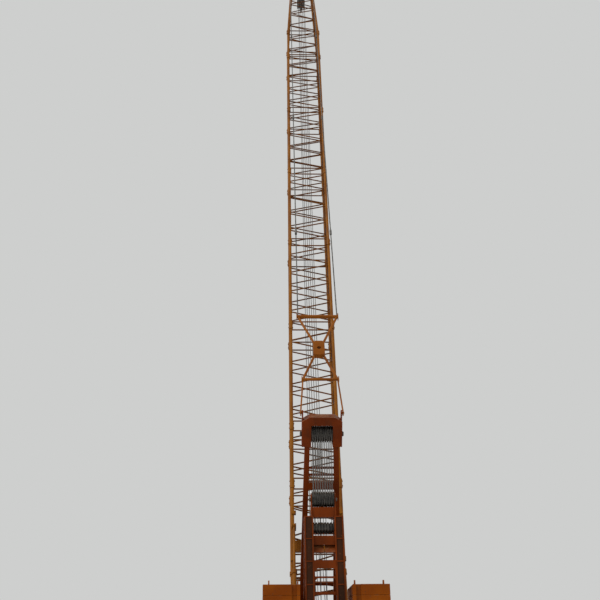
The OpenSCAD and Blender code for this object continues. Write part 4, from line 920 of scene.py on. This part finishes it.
def hood_fittings():
    """Roof seams and lids, exhaust and air intake, the radiator's core and the feet of the roof rail."""
    low, high = HOOD
    roof = high.z
    b = Build()
    for y in (-0.93, -0.42, 0.09, 0.55):
        b.box((low.x + 0.01, y - 0.008, roof - 0.001), (high.x - 0.01, y + 0.008, roof + 0.010), 0.003)
    for x in (low.x + 0.008, high.x - 0.008):
        b.box((x - 0.008, low.y, roof - 0.001), (x + 0.008, high.y, roof + 0.008), 0.003)
    for y in (-0.70, 0.20):
        b.box((low.x + 0.15, y - 0.13, roof), (high.x - 0.15, y + 0.13, roof + 0.022), 0.008)
    b.done("hood_roof_seams", "upperworks", "frame_orange")
    # The exhaust's bent end, flange and clamps, and the intake with its cap
    b = Build()
    x, y = EXHAUST
    b.tube([(x, y, roof + 0.258), (x, y, roof + 0.30), (x - 0.01, y - 0.03, roof + 0.345),
            (x - 0.02, y - 0.10, roof + 0.375)], 0.030, 20)
    b.turned((x, y, roof), UP, [(0, 0.046), (0, 0.075), (0.008, 0.075), (0.012, 0.046)])
    for z in (roof + 0.06, roof + 0.20):
        b.turned((x, y, z), UP, [(0, 0.044), (0, 0.050), (0.014, 0.050), (0.014, 0.044)])
    b.turned((*INTAKE, roof - 0.002), UP, INTAKE_PIPE)
    b.done("exhaust_and_intake", "upperworks", "engine_grey")
    # Core of the radiator behind the rear louvres
    b = Build()
    for i in range(FINS):
        x = low.x + 0.07 + i * (high.x - low.x - 0.14) / (FINS - 1)
        b.box((x - 0.002, low.y + 0.030, low.z + 0.09), (x + 0.002, low.y + 0.060, roof - 0.10))
    for z in (low.z + 0.08, roof - 0.12):
        b.box((low.x + 0.05, low.y + 0.026, z), (high.x - 0.05, low.y + 0.066, z + 0.03), 0.006)
    b.done("radiator_core", "upperworks", "engine_grey")
    b = Build()
    for i in range(RAIL_POSTS):
        y = low.y + 0.080 + i * (high.y - low.y - 0.160) / (RAIL_POSTS - 1)
        b.block(low.x + 0.040, y, 0.024, 0.024, roof - 0.001, roof + 0.008, 0.002)
    b.done("roof_rail_feet", "upperworks", "frame_orange")


def hood_door_fittings():
    """A handle on its plate for each side door, beside the edge where the two meet."""
    x = HOOD[0].x
    for name in ("hood_door_front", "hood_door_rear"):
        box_low, box_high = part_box(name)
        y = box_low.y + 0.06 if name == "hood_door_front" else box_high.y - 0.06
        b = Build()
        b.box((x - 0.006, y - 0.018, 1.19), (x + 0.002, y + 0.018, 1.29), 0.003)
        b.handle(y, x - 0.004, x - 0.024, 1.205, 1.275, 0.005, 0.005)
        b.done(f"{name}_handle", name, "black_rubber")


def tank_fittings():
    """Two filler caps with grips on the tank housing's roof, and bolts down its outer side."""
    low, high = TANK
    profile = [(0, 0.001), (0, CAP_R + 0.003), (0.010, CAP_R + 0.003), (0.014, CAP_R * 0.86),
               (0.024, CAP_R * 0.80), (0.028, CAP_R * 0.70), (0.028, 0.001)]
    b = Build()
    for y in (-0.76, -0.39):
        b.turned((CAP_X, y, high.z + 0.031), UP, profile)
        b.block(CAP_X, y, CAP_R * 0.7, 0.006, high.z + 0.058, high.z + 0.070, 0.003)
    for y in (low.y + 0.05, high.y - 0.05):
        for z in (0.86, 1.10, 1.40):
            b.bolt((high.x, y, z), (1, 0, 0), 0.008, 0.006)
    b.done("tank_caps", "upperworks", "bolt_steel")


WALKWAY_X, WALKWAY_REAR, WALKWAY_TOP = (0.470, 0.610), -0.970, 0.820
TREADS, TREAD_PITCH = 45, 0.030


def walkway_plates():
    """Raised tread bars on the walkways beside the girders."""
    b = Build()
    for side in (-1, 1):
        x0, x1 = sorted(side * x for x in WALKWAY_X)
        for i in range(TREADS):
            y = WALKWAY_REAR + i * TREAD_PITCH
            b.box((x0, y, WALKWAY_TOP), (x1, y + 0.010, WALKWAY_TOP + 0.007))
    b.done("walkway_treads", "upperworks", "grating")


# Stage and light

FLOOR_HALF = 380.0


def make_stage():
    """A wide pale floor, and a sky that lights softly and looks pale to the camera and in metal and glass."""
    floor = Build()
    floor.box((-FLOOR_HALF, -FLOOR_HALF, -0.02), (FLOOR_HALF, FLOOR_HALF, 0.0))
    s = Shader("floor")
    s.finish(s.mix(s.step(s.noise(0.6, 3), 0.3, 0.7), rgb(218, 216, 212), rgb(222, 220, 216)), 0.8)
    floor.done("floor", None, "floor")
    world = bpy.data.worlds.new("studio")
    world.use_nodes = True
    nodes, links = world.node_tree.nodes, world.node_tree.links
    nodes.clear()

    def background(colour, strength):
        node = nodes.new("ShaderNodeBackground")
        node.inputs["Color"].default_value = colour
        node.inputs["Strength"].default_value = strength
        return node.outputs[0]

    def either(a, b):
        node = nodes.new("ShaderNodeMath")
        node.operation = "MAXIMUM"
        links.new(a, node.inputs[0])
        links.new(b, node.inputs[1])
        return node.outputs[0]

    rays = nodes.new("ShaderNodeLightPath").outputs
    mirrored = either(rays["Is Glossy Ray"], rays["Is Transmission Ray"])
    mix = nodes.new("ShaderNodeMixShader")
    links.new(either(rays["Is Camera Ray"], mirrored), mix.inputs[0])
    links.new(background(rgb(246, 247, 250), 0.62), mix.inputs[1])
    links.new(background(rgb(206, 207, 206), 1.0), mix.inputs[2])
    out = nodes.new("ShaderNodeOutputWorld")
    links.new(mix.outputs[0], out.inputs[0])
    bpy.context.scene.world = world


def make_lamp(name, azimuth, elevation, strength, angle):
    """A soft sun that shines from this direction; azimuth 0 comes from the rear, 90 from the left."""
    data = bpy.data.lights.new(name, "SUN")
    data.energy = strength
    data.angle = math.radians(angle)
    az, el = math.radians(azimuth), math.radians(elevation)
    source = Vector((-math.sin(az) * math.cos(el), -math.cos(az) * math.cos(el), math.sin(el)))
    add(name, data).rotation_euler = source.to_track_quat("Z", "Y").to_euler()


make_camera()
make_materials()
dress_nodes()
for winch in WINCHES:
    drum_rope(f"{winch}_drum_rope", winch)
hoist_ropes()
guide_sheaves()
luffing_ropes()
boom_pins()
counterweight_plates(-1, "counterweights_left")
counterweight_plates(1, "counterweights_right")
gantry_plates()
axle_caps()
deck_bolts()
track_shoes(-1, "track_left")
track_shoes(1, "track_right")
track_hubs()
cab_seat()
cab_windows()
cab_fittings()
door_fittings()
console_fittings()
hood_fittings()
hood_door_fittings()
tank_fittings()
walkway_plates()
make_stage()
make_lamp("key", 62, 48, 1.7, 22)
make_lamp("fill", 290, 30, 0.5, 40)
bpy.context.scene.view_settings.view_transform = "Standard"
